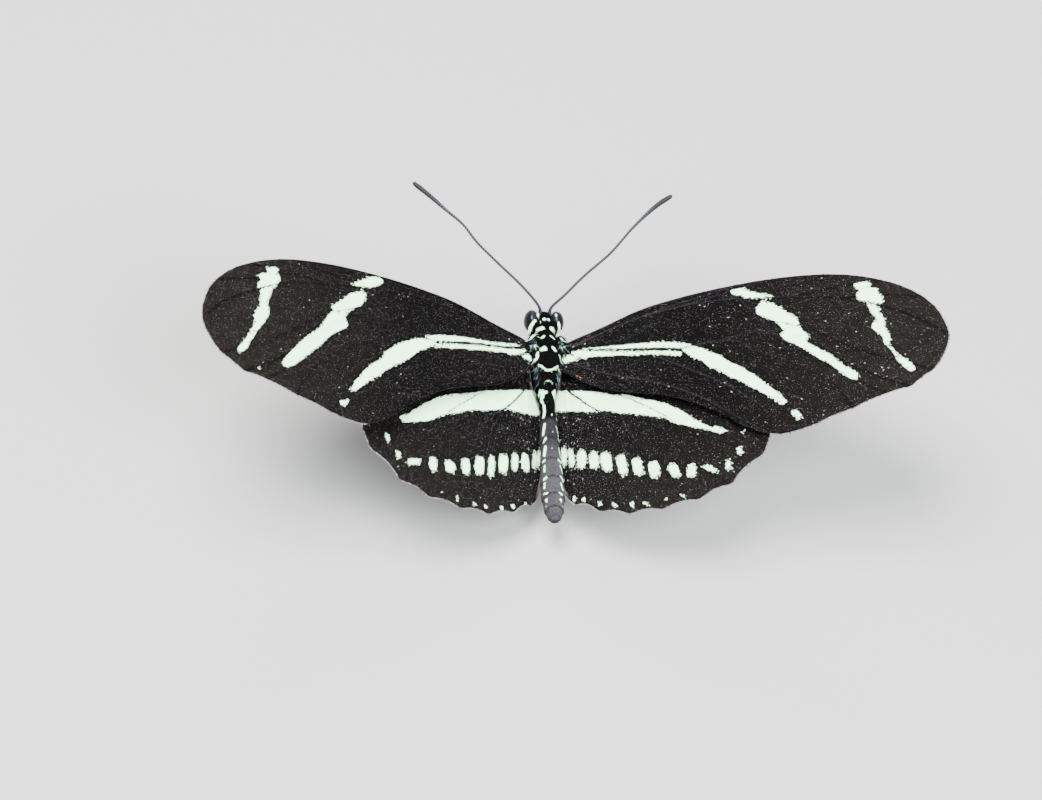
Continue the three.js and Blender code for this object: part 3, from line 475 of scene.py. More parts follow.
# Even field of plan points inside the outline, with rows laid along every vein.
def wingField(outline, veins):
    gap, shift = wingStyle["field"], wingStyle["fieldShift"]
    low, high = outline.min(axis=0), outline.max(axis=0)
    rows = np.arange(low[1], high[1], gap * 0.866)
    columns = np.arange(low[0], high[0], gap)
    grid = np.array([(c + (gap / 2 if i % 2 else 0), r) for i, r in enumerate(rows) for c in columns])
    grid = grid + np.random.default_rng(5).uniform(-shift, shift, grid.shape)
    keep = depthInside(grid, outline) > wingStyle["rimGap"]
    for vein in veins:
        keep &= fromLine(grid, vein)[0] > wingStyle["veinGap"]
    fields = [grid[keep]]
    for index, vein in enumerate(veins):
        others = veins[:index] + veins[index + 1:]
        ahead = np.gradient(vein, axis=0)
        across = np.stack([-ahead[:, 1], ahead[:, 0]], 1) / np.linalg.norm(ahead, axis=1)[:, None]
        for reach in wingStyle["veinRows"]:
            for way in (-1, 1):
                row = vein + across * reach * way
                clear = depthInside(row, outline) > 0.1
                for other in others:
                    clear &= fromLine(row, other)[0] > 0.1
                fields.append(row[clear])
    return np.vstack(fields)


# A wing's outline, its veins, and the points and triangles of its plan.
def wingPlan(plan):
    outline = wingOutline(plan)
    veins = [smoothLine(vein, wingStyle["veinStep"]) for vein in plan["veins"]]
    veins = [vein[depthInside(vein, outline) > 0.06] for vein in veins]
    edges = [(i, (i + 1) % len(outline)) for i in range(len(outline))]
    start = len(outline)
    for vein in veins:
        edges += [(start + i, start + i + 1) for i in range(len(vein) - 1)]
        start += len(vein)
    everything = [Vector(p) for p in np.vstack([outline] + veins + [wingField(outline, veins)])]
    found = delaunay_2d_cdt(everything, edges, [], 0, 1e-6)
    places = np.array([tuple(p) for p in found[0]])
    triangles = np.array([t for t in found[2] if len(t) == 3])
    inside = isInside(places[triangles].mean(axis=1), outline)
    return outline, veins, places, triangles[inside]


# Depth inside the pale markings, in millimetres, negative outside them.
def markDepth(points, name):
    depth = np.full(len(points), -9.0)
    power = spotStyle["power"]
    for outline in markings[name]:
        depth = np.maximum(depth, depthInside(points, smoothLine(outline + outline[:1], 0.35)[:-1]))
    for p, q, halfWidth, halfLength, lean in spots[name]:
        angle = math.radians(lean)
        u = (points[:, 0] - p) * math.cos(angle) - (points[:, 1] - q) * math.sin(angle)
        v = (points[:, 0] - p) * math.sin(angle) + (points[:, 1] - q) * math.cos(angle)
        small = spotStyle["smallShare"] if max(halfWidth, halfLength) < spotStyle["smallUnder"] else 1.0
        halfWidth, halfLength = halfWidth * spotStyle["widthShare"] * small, halfLength * small
        radius = ((np.abs(u) / halfWidth) ** power + (np.abs(v) / halfLength) ** power) ** (1 / power)
        depth = np.maximum(depth, (1 - radius) * min(halfWidth, halfLength))
    for halfWidth, line in darkLines[name.split("_")[0]] + darkLines.get(name, []):
        depth = np.minimum(depth, fromLine(points, smoothLine(line, 0.3))[0] - halfWidth)
    return depth


def wingMatrix(kind, pose):
    side = pose["side"]
    x, y, z = wingStyle["hinge"]
    wings = Matrix.Translation((side * x, y, z)) @ turn(-side * math.radians(pose["raise"]), "Y") \
        @ turn(math.radians(pose["pitch"]), "X") @ turn(side * math.radians(pose["sweep"]), "Z")
    if kind == "forewing":
        out, forward = pose["foreSlide"]
        return toRow @ wings @ Matrix.Translation((side * out, forward, 0))
    out, forward = pose["hindSlide"]
    return toRow @ wings @ Matrix.Translation((side * out, forward, -wingStyle["hindDrop"])) \
        @ turn(math.radians(pose["hindPitch"]), "X") @ turn(side * math.radians(pose["hindTurn"]), "Z")


# Height of a wing's middle surface over its plan: bowed along the wing, and lower at the inner edge.
def wingMiddle(plan, places):
    bow = wingStyle["bow"] * ((places[:, 1] - plan["bowMiddle"]) / wingStyle["bowSpan"]) ** 2
    dip = smoothStep((wingStyle["troughFrom"] - places[:, 0]) / wingStyle["troughWidth"])
    return -bow - plan["trough"] * dip


def wingUnwrap(places):
    flat = (places + np.array(wingStyle["unwrapFrom"])) / wingStyle["unwrapSize"]
    return flat * [1, wingStyle["unwrapHeight"]]


# Edges of the plan's triangles that have no neighbour.
def openEdges(triangles):
    rim = {}
    for a, b, c in triangles:
        for start, end in ((a, b), (b, c), (c, a)):
            if (end, start) in rim:
                del rim[(end, start)]
            else:
                rim[(start, end)] = True
    return list(rim)


# Distance from the nearest vein, height of the veins' ridges, and the direction in which scales lie.
def veinFields(places, veins):
    nearest = np.full(len(places), 9.0)
    ridge = np.zeros(len(places))
    flow = np.zeros((len(places), 2))
    for vein in veins:
        distance, share, heading = fromLine(places, vein)
        nearest = np.minimum(nearest, distance)
        height = wingStyle["ridge"] * (1 - 0.6 * share)
        ridge = np.maximum(ridge, height * np.exp(-((distance / wingStyle["ridgeWidth"]) ** 2)))
        flow += heading / (distance[:, None] + 0.4) ** 2
    return nearest, ridge, flow / np.linalg.norm(flow, axis=1)[:, None]


# One wing's sheet: upper and lower faces over the same plan triangles, closed round the rim.
def buildSheet(kind, sideName, plan, shape, material):
    pose = wingStyle[sideName]
    side = pose["side"]
    name = kind + "_" + sideName
    outline, veins, places, triangles = shape
    count = len(places)
    margin = np.clip(depthInside(places, outline), 0, None)
    nearest, ridge, flow = veinFields(places, veins)
    swell = wingStyle["rootSwell"] * np.exp(-((np.linalg.norm(places, axis=1) / wingStyle["rootReach"]) ** 2))
    sag = wingStyle["sag"] * (1 - np.exp(-((nearest / wingStyle["sagReach"]) ** 2)))
    sag = sag * np.clip(margin / wingStyle["sagMargin"], 0, 1)
    middle = wingMiddle(plan, places)
    half = wingStyle["halfThickness"]
    up = middle + half - sag + ridge + swell * (kind == "forewing")
    down = middle - half - sag - 0.6 * ridge - swell * (kind == "hindwing")
    plane = places * [side, 1]
    local = np.vstack([np.column_stack([plane, up]), np.column_stack([plane, down])])
    corners = places[triangles]
    area = np.cross(corners[:, 1] - corners[:, 0], corners[:, 2] - corners[:, 0])
    ordered = np.where((area > 0)[:, None] == (side > 0), triangles, triangles[:, ::-1]).tolist()
    faces = ordered + [(c + count, b + count, a + count) for a, b, c in ordered]
    faces += [(a, a + count, b + count, b) for a, b in openEdges(ordered)]
    matrix = wingMatrix(kind, pose)
    mesh = meshOf(name + "Sheet", throughMatrix(matrix, local), faces)
    apart = places - np.array(plan["fanFrom"])
    bearing = np.arctan2(apart[:, 1], apart[:, 0])
    heading, near, far, most = plan["brown"]
    red = np.full(count, -1.0)
    for halfWidth, ends in rootReds.get(name, []):
        red = np.maximum(red, halfWidth - fromLine(places, np.array(ends))[0])
    fields = {
        "mark": markDepth(places, name),
        "vein": nearest,
        "margin": margin,
        "reach": places[:, 0],
        "dust": np.full(count, wingStyle["dust"][name]),
        "brown": most * np.clip((places @ np.array(heading) - near) / (far - near), 0, 1),
        "red": red,
    }
    for field, values in fields.items():
        storePoints(mesh, field, np.tile(values, 2))
    fan = np.column_stack([np.linalg.norm(apart, axis=1) * 0.4, bearing * 60, np.zeros(count)])
    lay = turnedOnly(matrix, np.column_stack([flow * [side, 1], np.zeros(count)]))
    storePoints(mesh, "under", np.repeat([0.0, 1.0], count))
    storePoints(mesh, "fan", np.tile(fan, (2, 1)))
    storePoints(mesh, "lay", np.tile(lay, (2, 1)))
    unwrap = wingUnwrap(places)
    storeUnwrap(mesh, np.vstack([unwrap, unwrap + [0, 0.5]]))
    return addPiece(name + "_sheet", mesh, material, [name])


# Sets a node's socket, or links it to another node's.
def feed(tree, socket, value):
    source = value.socket if isinstance(value, Field) else value
    if hasattr(source, "is_output"):
        tree.links.new(source, socket)
    elif isinstance(value, tuple) and socket.type == "RGBA":
        socket.default_value = value + (1.0,)
    else:
        socket.default_value = value


# A node with its settings first, then its inputs.
def addNode(tree, kind, inputs=None, **settings):
    node = tree.nodes.new(kind)
    for key, value in settings.items():
        setattr(node, key, value)
    for key, value in (inputs or {}).items():
        feed(tree, node.inputs[key], value)
    return node


# A shader value that adds, multiplies and compares like a number.
class Field:
    def __init__(self, tree, socket):
        self.tree = tree
        self.socket = socket

    def calculate(self, operation, *others, clamp=False):
        inputs = dict(enumerate((self,) + others))
        node = addNode(self.tree, "ShaderNodeMath", inputs, operation=operation, use_clamp=clamp)
        return Field(self.tree, node.outputs[0])

    def __add__(self, other):
        return self.calculate("ADD", other)

    def __radd__(self, other):
        return self.calculate("ADD", other)

    def __sub__(self, other):
        return self.calculate("SUBTRACT", other)

    def __rsub__(self, other):
        return (self * -1.0) + other

    def __mul__(self, other):
        return self.calculate("MULTIPLY", other)

    def __rmul__(self, other):
        return self.calculate("MULTIPLY", other)

    def clamped(self):
        return self.calculate("ADD", 0.0, clamp=True)

    # Rises from 0 to 1 between two values, or falls if the first is the larger.
    def between(self, start, end):
        return ((self - start) * (1.0 / (end - start))).clamped()


class Finish:
    def __init__(self, name, **constants):
        self.material = bpy.data.materials.new(name)
        self.material.use_nodes = True
        self.tree = self.material.node_tree
        self.shader = self.tree.nodes["Principled BSDF"]
        for socket, value in constants.items():
            self.shader.inputs[socket.replace("_", " ")].default_value = value

    def node(self, kind, inputs=None, **settings):
        return addNode(self.tree, kind, inputs, **settings)

    def attribute(self, name):
        return Field(self.tree, self.node("ShaderNodeAttribute", attribute_name=name).outputs["Fac"])

    def noiseAt(self, place, scale, detail):
        node = self.node("ShaderNodeTexNoise", {"Vector": place, "Scale": scale, "Detail": detail})
        return Field(self.tree, node.outputs["Fac"])

    def noise(self, scale, detail):
        return self.noiseAt(self.node("ShaderNodeTexCoord").outputs["Object"], scale, detail)

    # Noise over a vector attribute of the mesh, so that it follows the part's own shape.
    def noiseOver(self, name):
        place = self.node("ShaderNodeAttribute", attribute_name=name).outputs["Vector"]
        return self.noiseAt(place, 1.0, 2.0)

    # A mix of two colours, from the first at 0 to the second at 1.
    def blend(self, factor, first, second):
        return self.node("ShaderNodeMix", {0: factor, 6: first, 7: second}, data_type="RGBA").outputs[2]

    def colour(self, value):
        feed(self.tree, self.shader.inputs["Base Color"], value)

    def bump(self, height, strength, distance):
        node = self.node("ShaderNodeBump", {"Height": height, "Strength": strength, "Distance": distance})
        feed(self.tree, self.shader.inputs["Normal"], node.outputs[0])


wingColours = {
    "soot": (0.0009, 0.00085, 0.00085),
    "brown": (0.0066, 0.0057, 0.0047),
    "grain": (0.0064, 0.0057, 0.0057),
    "dusty": (0.055, 0.042, 0.047),
    "veinLine": (0.0008, 0.0007, 0.0007),
    # painted sheen along the inner veins
    "glow": (0.028, 0.024, 0.03),
    "speck": (0.25, 0.21, 0.235),
    "underside": (0.032, 0.024, 0.019),
    "red": (0.5, 0.02, 0.015),
    "paleGrain": (0.505, 0.86, 0.51),
    "paleUnder": (0.74, 0.70, 0.48),
    "fold": (0.16, 0.115, 0.10),
    "fringeDark": (0.05, 0.043, 0.05),
    "fringeLight": (0.30, 0.26, 0.30),
    "fringeRoot": (0.006, 0.005, 0.005),
}


# Black-brown scales, browner and streaked between the outer veins, dusted with paler ones, with a painted
# sheen along the inner veins.
def wingColour(finish, mark, tone):
    colours = wingColours
    under = finish.attribute("under")
    reach = finish.attribute("reach")
    vein = finish.attribute("vein")
    dustAndSheen = finish.attribute("dust")
    outer = finish.attribute("brown")
    streak = finish.noiseOver("fan").between(0.42, 0.72)
    patch = finish.noise(330, 3).between(0.5, 0.66)
    dust = dustAndSheen * (0.35 + reach.between(8, 30) * 0.65) * (0.15 + patch * 0.65 + streak * 0.25)
    brownness = (outer * 0.55 + streak * 0.3 * (outer + 0.3)).clamped()
    dark = finish.blend(brownness, colours["soot"], colours["brown"])
    dark = finish.blend(tone * (0.13 + outer * 0.2), dark, colours["grain"])
    dark = finish.blend((tone + dust * 0.08).between(1.0, 1.07) * 0.75, dark, colours["dusty"])
    line = (vein - outer * 0.04).between(0.21, 0.04)
    dark = finish.blend(line * (0.35 + outer * 0.4), dark, colours["veinLine"])
    # Painted sheen: a paler violet-grey line along the inner veins, as strong as each wing's dust share.
    glow = vein.between(0.1, 0.03) * reach.between(30, 12) * dustAndSheen
    dark = finish.blend(glow * 0.3, dark, colours["glow"])
    bright = (tone + dust * 0.006 + reach.between(2.4, 0.4) * 0.02).between(0.9985, 1.0)
    dark = finish.blend(bright, dark, colours["speck"])
    dark = finish.blend(under * 0.6, dark, colours["underside"])
    dark = finish.blend(finish.attribute("red").between(-0.03, 0.03) * 0.85, dark, colours["red"])
    light = finish.blend(tone * 0.3, pale, colours["paleGrain"])
    light = finish.blend(under * 0.5, light, colours["paleUnder"])
    both = finish.blend(mark, dark, light)
    fold = finish.attribute("margin").between(0.34, 0.16) * reach.between(-1.3, -1.9)
    return finish.blend(fold * 0.8, both, colours["fold"])


def sheetMaterial():
    finish = Finish("wingSheet", Roughness=0.75, Specular_IOR_Level=0.02)
    grain = finish.noise(9000, 2)
    mark = (finish.attribute("mark") + (grain - 0.5) * 0.3).between(-0.03, 0.03)
    tone = finish.noise(14000, 1).between(0.35, 0.7)
    finish.colour(wingColour(finish, mark, tone))
    finish.bump(grain, 0.3, 0.00004)
    return finish.material


def scaleMaterial():
    finish = Finish("wingScales", Roughness=0.65, Specular_IOR_Level=0.022)
    mark = finish.attribute("mark").between(-0.02, 0.02)
    finish.colour(wingColour(finish, mark, finish.attribute("tone")))
    return finish.material


def fringeMaterial():
    finish = Finish("fringeScales", Roughness=0.5)
    grey = finish.blend(finish.attribute("tone"), wingColours["fringeDark"], wingColours["fringeLight"])
    finish.colour(finish.blend(finish.attribute("pallor"), wingColours["fringeRoot"], grey))
    return finish.material


# A geometry node tree that strews a shape over a surface, laid along the surface's own lie.
class Strewing:
    def __init__(self, name, shape, material):
        self.tree = bpy.data.node_groups.new(name, "GeometryNodeTree")
        self.tree.is_modifier = True
        face = self.tree.interface
        face.new_socket("Geometry", in_out="INPUT", socket_type="NodeSocketGeometry")
        face.new_socket("Geometry", in_out="OUTPUT", socket_type="NodeSocketGeometry")
        self.sockets = {}
        settings = [("Density", 1e7), ("Length", 0.2), ("Width", 0.1), ("Lift", 0.05), ("Tilt", 0.1),
                    ("Scatter", 0.3), ("Spread", 0.25), ("Ragged", 0.1)]
        for label, value in settings:
            socket = face.new_socket(label, in_out="INPUT", socket_type="NodeSocketFloat")
            socket.default_value = value
            self.sockets[label] = socket.identifier
        socket = face.new_socket("Seed", in_out="INPUT", socket_type="NodeSocketInt")
        self.sockets["Seed"] = socket.identifier
        self.entry = self.add("NodeGroupInput").outputs
        self.build(shape, material)

    def add(self, kind, inputs=None, **settings):
        return addNode(self.tree, kind, inputs, **settings)

    def maths(self, operation, first, second):
        return self.add("ShaderNodeMath", {0: first, 1: second}, operation=operation).outputs[0]

    def vectorMaths(self, operation, first, second):
        return self.add("ShaderNodeVectorMath", {0: first, 1: second}, operation=operation).outputs[0]

    def named(self, name, kind="FLOAT"):
        return self.add("GeometryNodeInputNamedAttribute", {"Name": name}, data_type=kind).outputs[0]

    def randomBetween(self, low, high, salt):
        seed = self.maths("ADD", self.entry["Seed"], salt)
        inputs = {2: low, 3: high, "Seed": seed}
        return self.add("FunctionNodeRandomValue", inputs, data_type="FLOAT").outputs[1]

    # A random value as far above nothing as below it.
    def randomAbout(self, reach, salt):
        return self.randomBetween(self.maths("MULTIPLY", reach, -1.0), reach, salt)

    def stored(self, geometry, name, value, kind="FLOAT", domain="POINT"):
        inputs = {"Geometry": geometry, "Name": name, "Value": value}
        return self.add("GeometryNodeStoreNamedAttribute", inputs, data_type=kind, domain=domain).outputs[0]

    # Each blade lies along the attribute lay, tilted up from the surface and swung to the side.
    def facing(self, normal):
        across = self.vectorMaths("CROSS_PRODUCT", self.named("lay", "FLOAT_VECTOR"), normal)
        axes = {0: normal, 1: across}
        basis = self.add("FunctionNodeAxesToRotation", axes, primary_axis="Z", secondary_axis="X")
        swing = self.randomAbout(self.entry["Scatter"], 1)
        angles = self.add("ShaderNodeCombineXYZ", {0: self.entry["Tilt"], 2: swing})
        lean = self.add("FunctionNodeEulerToRotation", {0: angles.outputs[0]})
        turned = {0: basis.outputs[0], 1: lean.outputs[0]}
        return self.add("FunctionNodeRotateRotation", turned, rotation_space="LOCAL").outputs[0]

    def scale(self):
        spread = self.entry["Spread"]
        least, most = self.maths("SUBTRACT", 1.0, spread), self.maths("ADD", 1.0, spread)
        grown = self.maths("MULTIPLY", self.named("size"), self.randomBetween(least, most, 2))
        sizes = [self.maths("MULTIPLY", self.entry[label], grown) for label in ("Width", "Length", "Lift")]
        return self.add("ShaderNodeCombineXYZ", dict(enumerate(sizes))).outputs[0]

    def build(self, shape, material):
        density = self.maths("MULTIPLY", self.entry["Density"], self.named("cover"))
        spread = self.add("GeometryNodeDistributePointsOnFaces", {
            "Mesh": self.entry["Geometry"], "Density": density, "Seed": self.entry["Seed"]})
        jitter = self.randomAbout(self.entry["Ragged"], 3)
        points = self.stored(spread.outputs["Points"], "mark", self.maths("ADD", self.named("mark"), jitter))
        points = self.stored(points, "tone", self.randomBetween(0.0, 1.0, 4))
        single = self.add("GeometryNodeObjectInfo", {0: shape})
        placed = self.add("GeometryNodeInstanceOnPoints", {
            "Points": points, "Instance": single.outputs["Geometry"],
            "Rotation": self.facing(spread.outputs["Normal"]), "Scale": self.scale()})
        real = self.add("GeometryNodeRealizeInstances", {0: placed.outputs[0]}).outputs[0]
        patch = self.vectorMaths("MULTIPLY", self.named("local", "FLOAT_VECTOR"), (0.003, 0.003, 0.0))
        at = self.vectorMaths("ADD", patch, self.named("plan", "FLOAT_VECTOR"))
        unwrapped = self.stored(real, "OFBake", at, "FLOAT2", "CORNER")
        shown = self.add("GeometryNodeSetMaterial", {"Geometry": unwrapped, "Material": material})
        self.add("NodeGroupOutput", {0: shown.outputs[0]})

    # The strewn pieces over a surface as a plain mesh of their own.
    def over(self, surface, name, slot, settings):
        modifier = surface.modifiers.new("strewing", "NODES")
        modifier.node_group = self.tree
        for label, value in settings.items():
            modifier[self.sockets[label]] = value
        mesh = evaluatedMesh(surface)
        surface.modifiers.remove(modifier)
        mesh.name = name
        return addPiece(name, mesh, None, [], smooth=False)


# One blade to be strewn. It lies along +Y from its root at the origin.
def bladeObject(name, points, faces):
    mesh = meshOf(name, points, faces)
    storePoints(mesh, "local", np.array(points) * [1.0, 1.0, 0.0])
    return bpy.data.objects.new(name, mesh)


# A small closed scale: kite-shaped, with a low crest.
def scaleShape():
    points = [(0, -0.15, -0.3), (0.5, 0.45, 0.1), (0, 1, 0.6), (-0.5, 0.45, 0.1), (0, 0.5, 1)]
    faces = [(0, 1, 4), (1, 2, 4), (2, 3, 4), (3, 0, 4), (1, 0, 3), (1, 3, 2)]
    return bladeObject("scaleShape", points, faces)


# A closed three-sided hair that thins to a point.
def hairShape():
    points = [(-0.5, 0, -0.1), (0.5, 0, -0.1), (0, 0, 0.6), (-0.4, 0.55, 0.5), (0.4, 0.55, 0.5),
              (0, 0.55, 1), (0, 1, 1.1)]
    faces = [(0, 2, 1), (0, 1, 4, 3), (1, 2, 5, 4), (2, 0, 3, 5), (3, 4, 6), (4, 5, 6), (5, 3, 6)]
    return bladeObject("hairShape", points, faces)


# Limits a surface's strewing to some of its points.
def setCover(piece, cover, size):
    for name, values in (("cover", cover), ("size", size)):
        old = piece.data.attributes.get(name)
        if old:
            piece.data.attributes.remove(old)
        storePoints(piece.data, name, values)


def dressWing(name, sheet, strewing):
    under = pointValues(sheet.data, "under")
    away = (pointValues(sheet.data, "margin") > 0.001).astype(float)
    smallest = wingCoat["smallest"]
    grown = smallest + (1 - smallest) * pointValues(sheet.data, "reach") / wingCoat["fullAt"]
    size = np.clip(grown, smallest, 1.0)
    setCover(sheet, (under < 0.5) * away, size)
    strewing.over(sheet, name + "_scales_above", "wing", wingCoat["above"])
    setCover(sheet, (under > 0.5) * away, size)
    strewing.over(sheet, name + "_scales_below", "wing", wingCoat["below"])
    setCover(sheet, np.zeros(len(under)), size)


# Fringe of narrow scales standing out round the wing's rim.
def buildFringe(kind, sideName, plan, shape, strewing):
    pose = wingStyle[sideName]
    outline = shape[0]
    matrix = wingMatrix(kind, pose)
    run = np.vstack([outline, outline[:1]])
    count = len(run)
    ahead = np.gradient(run, axis=0)
    outward = np.stack([ahead[:, 1], -ahead[:, 0]], 1) / np.linalg.norm(ahead, axis=1)[:, None]
    outward *= np.sign(np.sum(run[:-1, 0] * run[1:, 1] - run[1:, 0] * run[:-1, 1]))
    inner = np.column_stack([run * [pose["side"], 1], wingMiddle(plan, run)])
    step = np.column_stack([outward * [pose["side"], 1], np.zeros(count)])
    points = np.vstack([inner - step * 0.05, inner + step * 0.02])
    faces = [(i, i + 1, count + i + 1, count + i) for i in range(count - 1)]
    mesh = meshOf("rim", throughMatrix(matrix, points), faces)
    (far, farWidth), (rear, rearWidth) = plan["fringe"]
    outer = smoothStep((run[:, 0] - far) / farWidth) * smoothStep((rear - run[:, 1]) / rearWidth)
    fields = {"mark": np.full(count, -1.0), "cover": (outer > 0.02) * 1.0, "size": 0.5 + 0.5 * outer}
    fields["pallor"] = outer
    for field, values in fields.items():
        storePoints(mesh, field, np.tile(values, 2))
    storePoints(mesh, "lay", np.tile(turnedOnly(matrix, step), (2, 1)))
    storePoints(mesh, "plan", np.tile(np.column_stack([wingUnwrap(run), np.zeros(count)]), (2, 1)))
    rim = addToScene("rim", mesh)
    strewing.over(rim, f"{kind}_{sideName}_fringe", "wing", wingCoat["fringe"])
    bpy.data.objects.remove(rim)


# Trunk: rings across the body axis, each as y, half width, height above the axis, depth below it, and
# height of the axis.
trunk = {
    "coat": 0.1,
    "voxel": 0.07,
    "boxy": 0.8,
    "thorax": [
        (4.0, 0.9, 1.15, 1.0, 0.2), (3.6, 1.35, 1.65, 1.5, 0.1), (3.0, 1.68, 2.1, 2.0, 0),
        (2.4, 1.82, 2.32, 2.3, 0), (1.6, 1.86, 2.45, 2.5, 0), (0.7, 1.72, 2.55, 2.65, 0),
        (-0.1, 1.5, 2.4, 2.55, 0), (-0.9, 1.32, 2.15, 2.4, 0), (-1.7, 1.18, 1.95, 2.1, 0),
        (-2.3, 1.05, 1.65, 1.75, 0.05), (-2.9, 0.95, 1.15, 1.3, 0.15), (-3.4, 0.88, 0.9, 1.0, 0.3),
    ],
    "collar": [
        (5.6, 0.78, 0.95, 0.9, 0.3), (5.2, 0.95, 1.12, 1.0, 0.3), (4.6, 1.22, 1.4, 1.3, 0.25),
        (4.0, 1.42, 1.58, 1.45, 0.2), (3.5, 1.5, 1.75, 1.6, 0.1), (3.0, 1.3, 1.7, 1.4, 0.0),
    ],
    "head": [
        (7.95, 0.3, 0.3, 0.35, 0.2), (7.75, 0.66, 0.7, 0.8, 0.22), (7.3, 0.83, 1.15, 1.15, 0.28),
        (6.6, 0.89, 1.44, 1.48, 0.3), (5.95, 0.96, 1.47, 1.42, 0.3), (5.4, 1.02, 1.25, 1.2, 0.3),
        (4.9, 0.9, 1.0, 0.9, 0.3),
    ],
    "shields": [((0, -0.7, 1.96), (0.9, 0.46, 0.47)), ((0, -1.7, 1.6), (0.78, 0.56, 0.52))],
    "pads": [
        ((1.74, 2.4, 2.0), (0.54, 0.9, 0.36)), ((1.5, 3.35, 1.7), (0.5, 0.68, 0.46)),
        ((1.02, 5.92, 0.35), (0.74, 0.72, 1.16)),
    ],
    "browSpots": [((-0.82, 6.9, 1.15), (0.16, 0.34, 0.4)), ((1.2, 6.84, 1.3), (0.16, 0.34, 0.42))],
    "lips": {
        1: [
            (1.45, 6.12, 1.50, 0.06), (1.55, 5.89, 1.38, 0.11), (1.60, 5.71, 1.20, 0.13),
            (1.63, 5.55, 0.97, 0.12), (1.59, 5.43, 0.71, 0.06),
        ],
        -1: [
            (-1.16, 6.25, 1.50, 0.06), (-1.39, 5.89, 1.40, 0.12), (-1.55, 5.64, 1.15, 0.17),
            (-1.61, 5.46, 0.79, 0.16), (-1.62, 5.38, 0.42, 0.08),
        ],
    },
    "palp": [(0.64, 7.0, -0.6), (0.74, 7.55, -0.98), (0.74, 8.0, -1.02), (0.66, 8.35, -0.8)],
    "palpRadii": [0.22, 0.24, 0.22, 0.1],
    "abdomenFront": -2.0,
    "ringEnds": [-4.3, -6.3, -8.8, -11.4, -13.6, -15.55, -16.95, -17.8, -18.25],
    "seamArch": 0.45,
    "widths": [
        (-2.0, 0.9), (-2.75, 0.96), (-3.6, 0.93), (-4.8, 0.95), (-6.5, 1.03), (-9, 1.13), (-11.5, 1.24),
        (-13.5, 1.34), (-15.3, 1.37), (-16.4, 1.27), (-17.0, 1.16), (-17.5, 1.02), (-17.9, 0.82),
        (-18.2, 0.56),
    ],
    "axis": [(-2.0, 0.35), (-8, 0.35), (-13, 0.05), (-18.2, -0.6)],
    "bend": [(-2.0, 0), (-6, 0.03), (-8, 0.05), (-13, 0.21), (-18.2, 0.46)],
    "heightShare": 1.06,
    "lip": 0.15,
    "groove": 0.07,
    "grooveWidth": 0.09,
}


# The same lines on both sides of the body.
def onBothSides(rods):
    return [(halfWidth, [(side * x, y, z) for x, y, z in line])
            for side in (-1, 1) for halfWidth, line in rods]


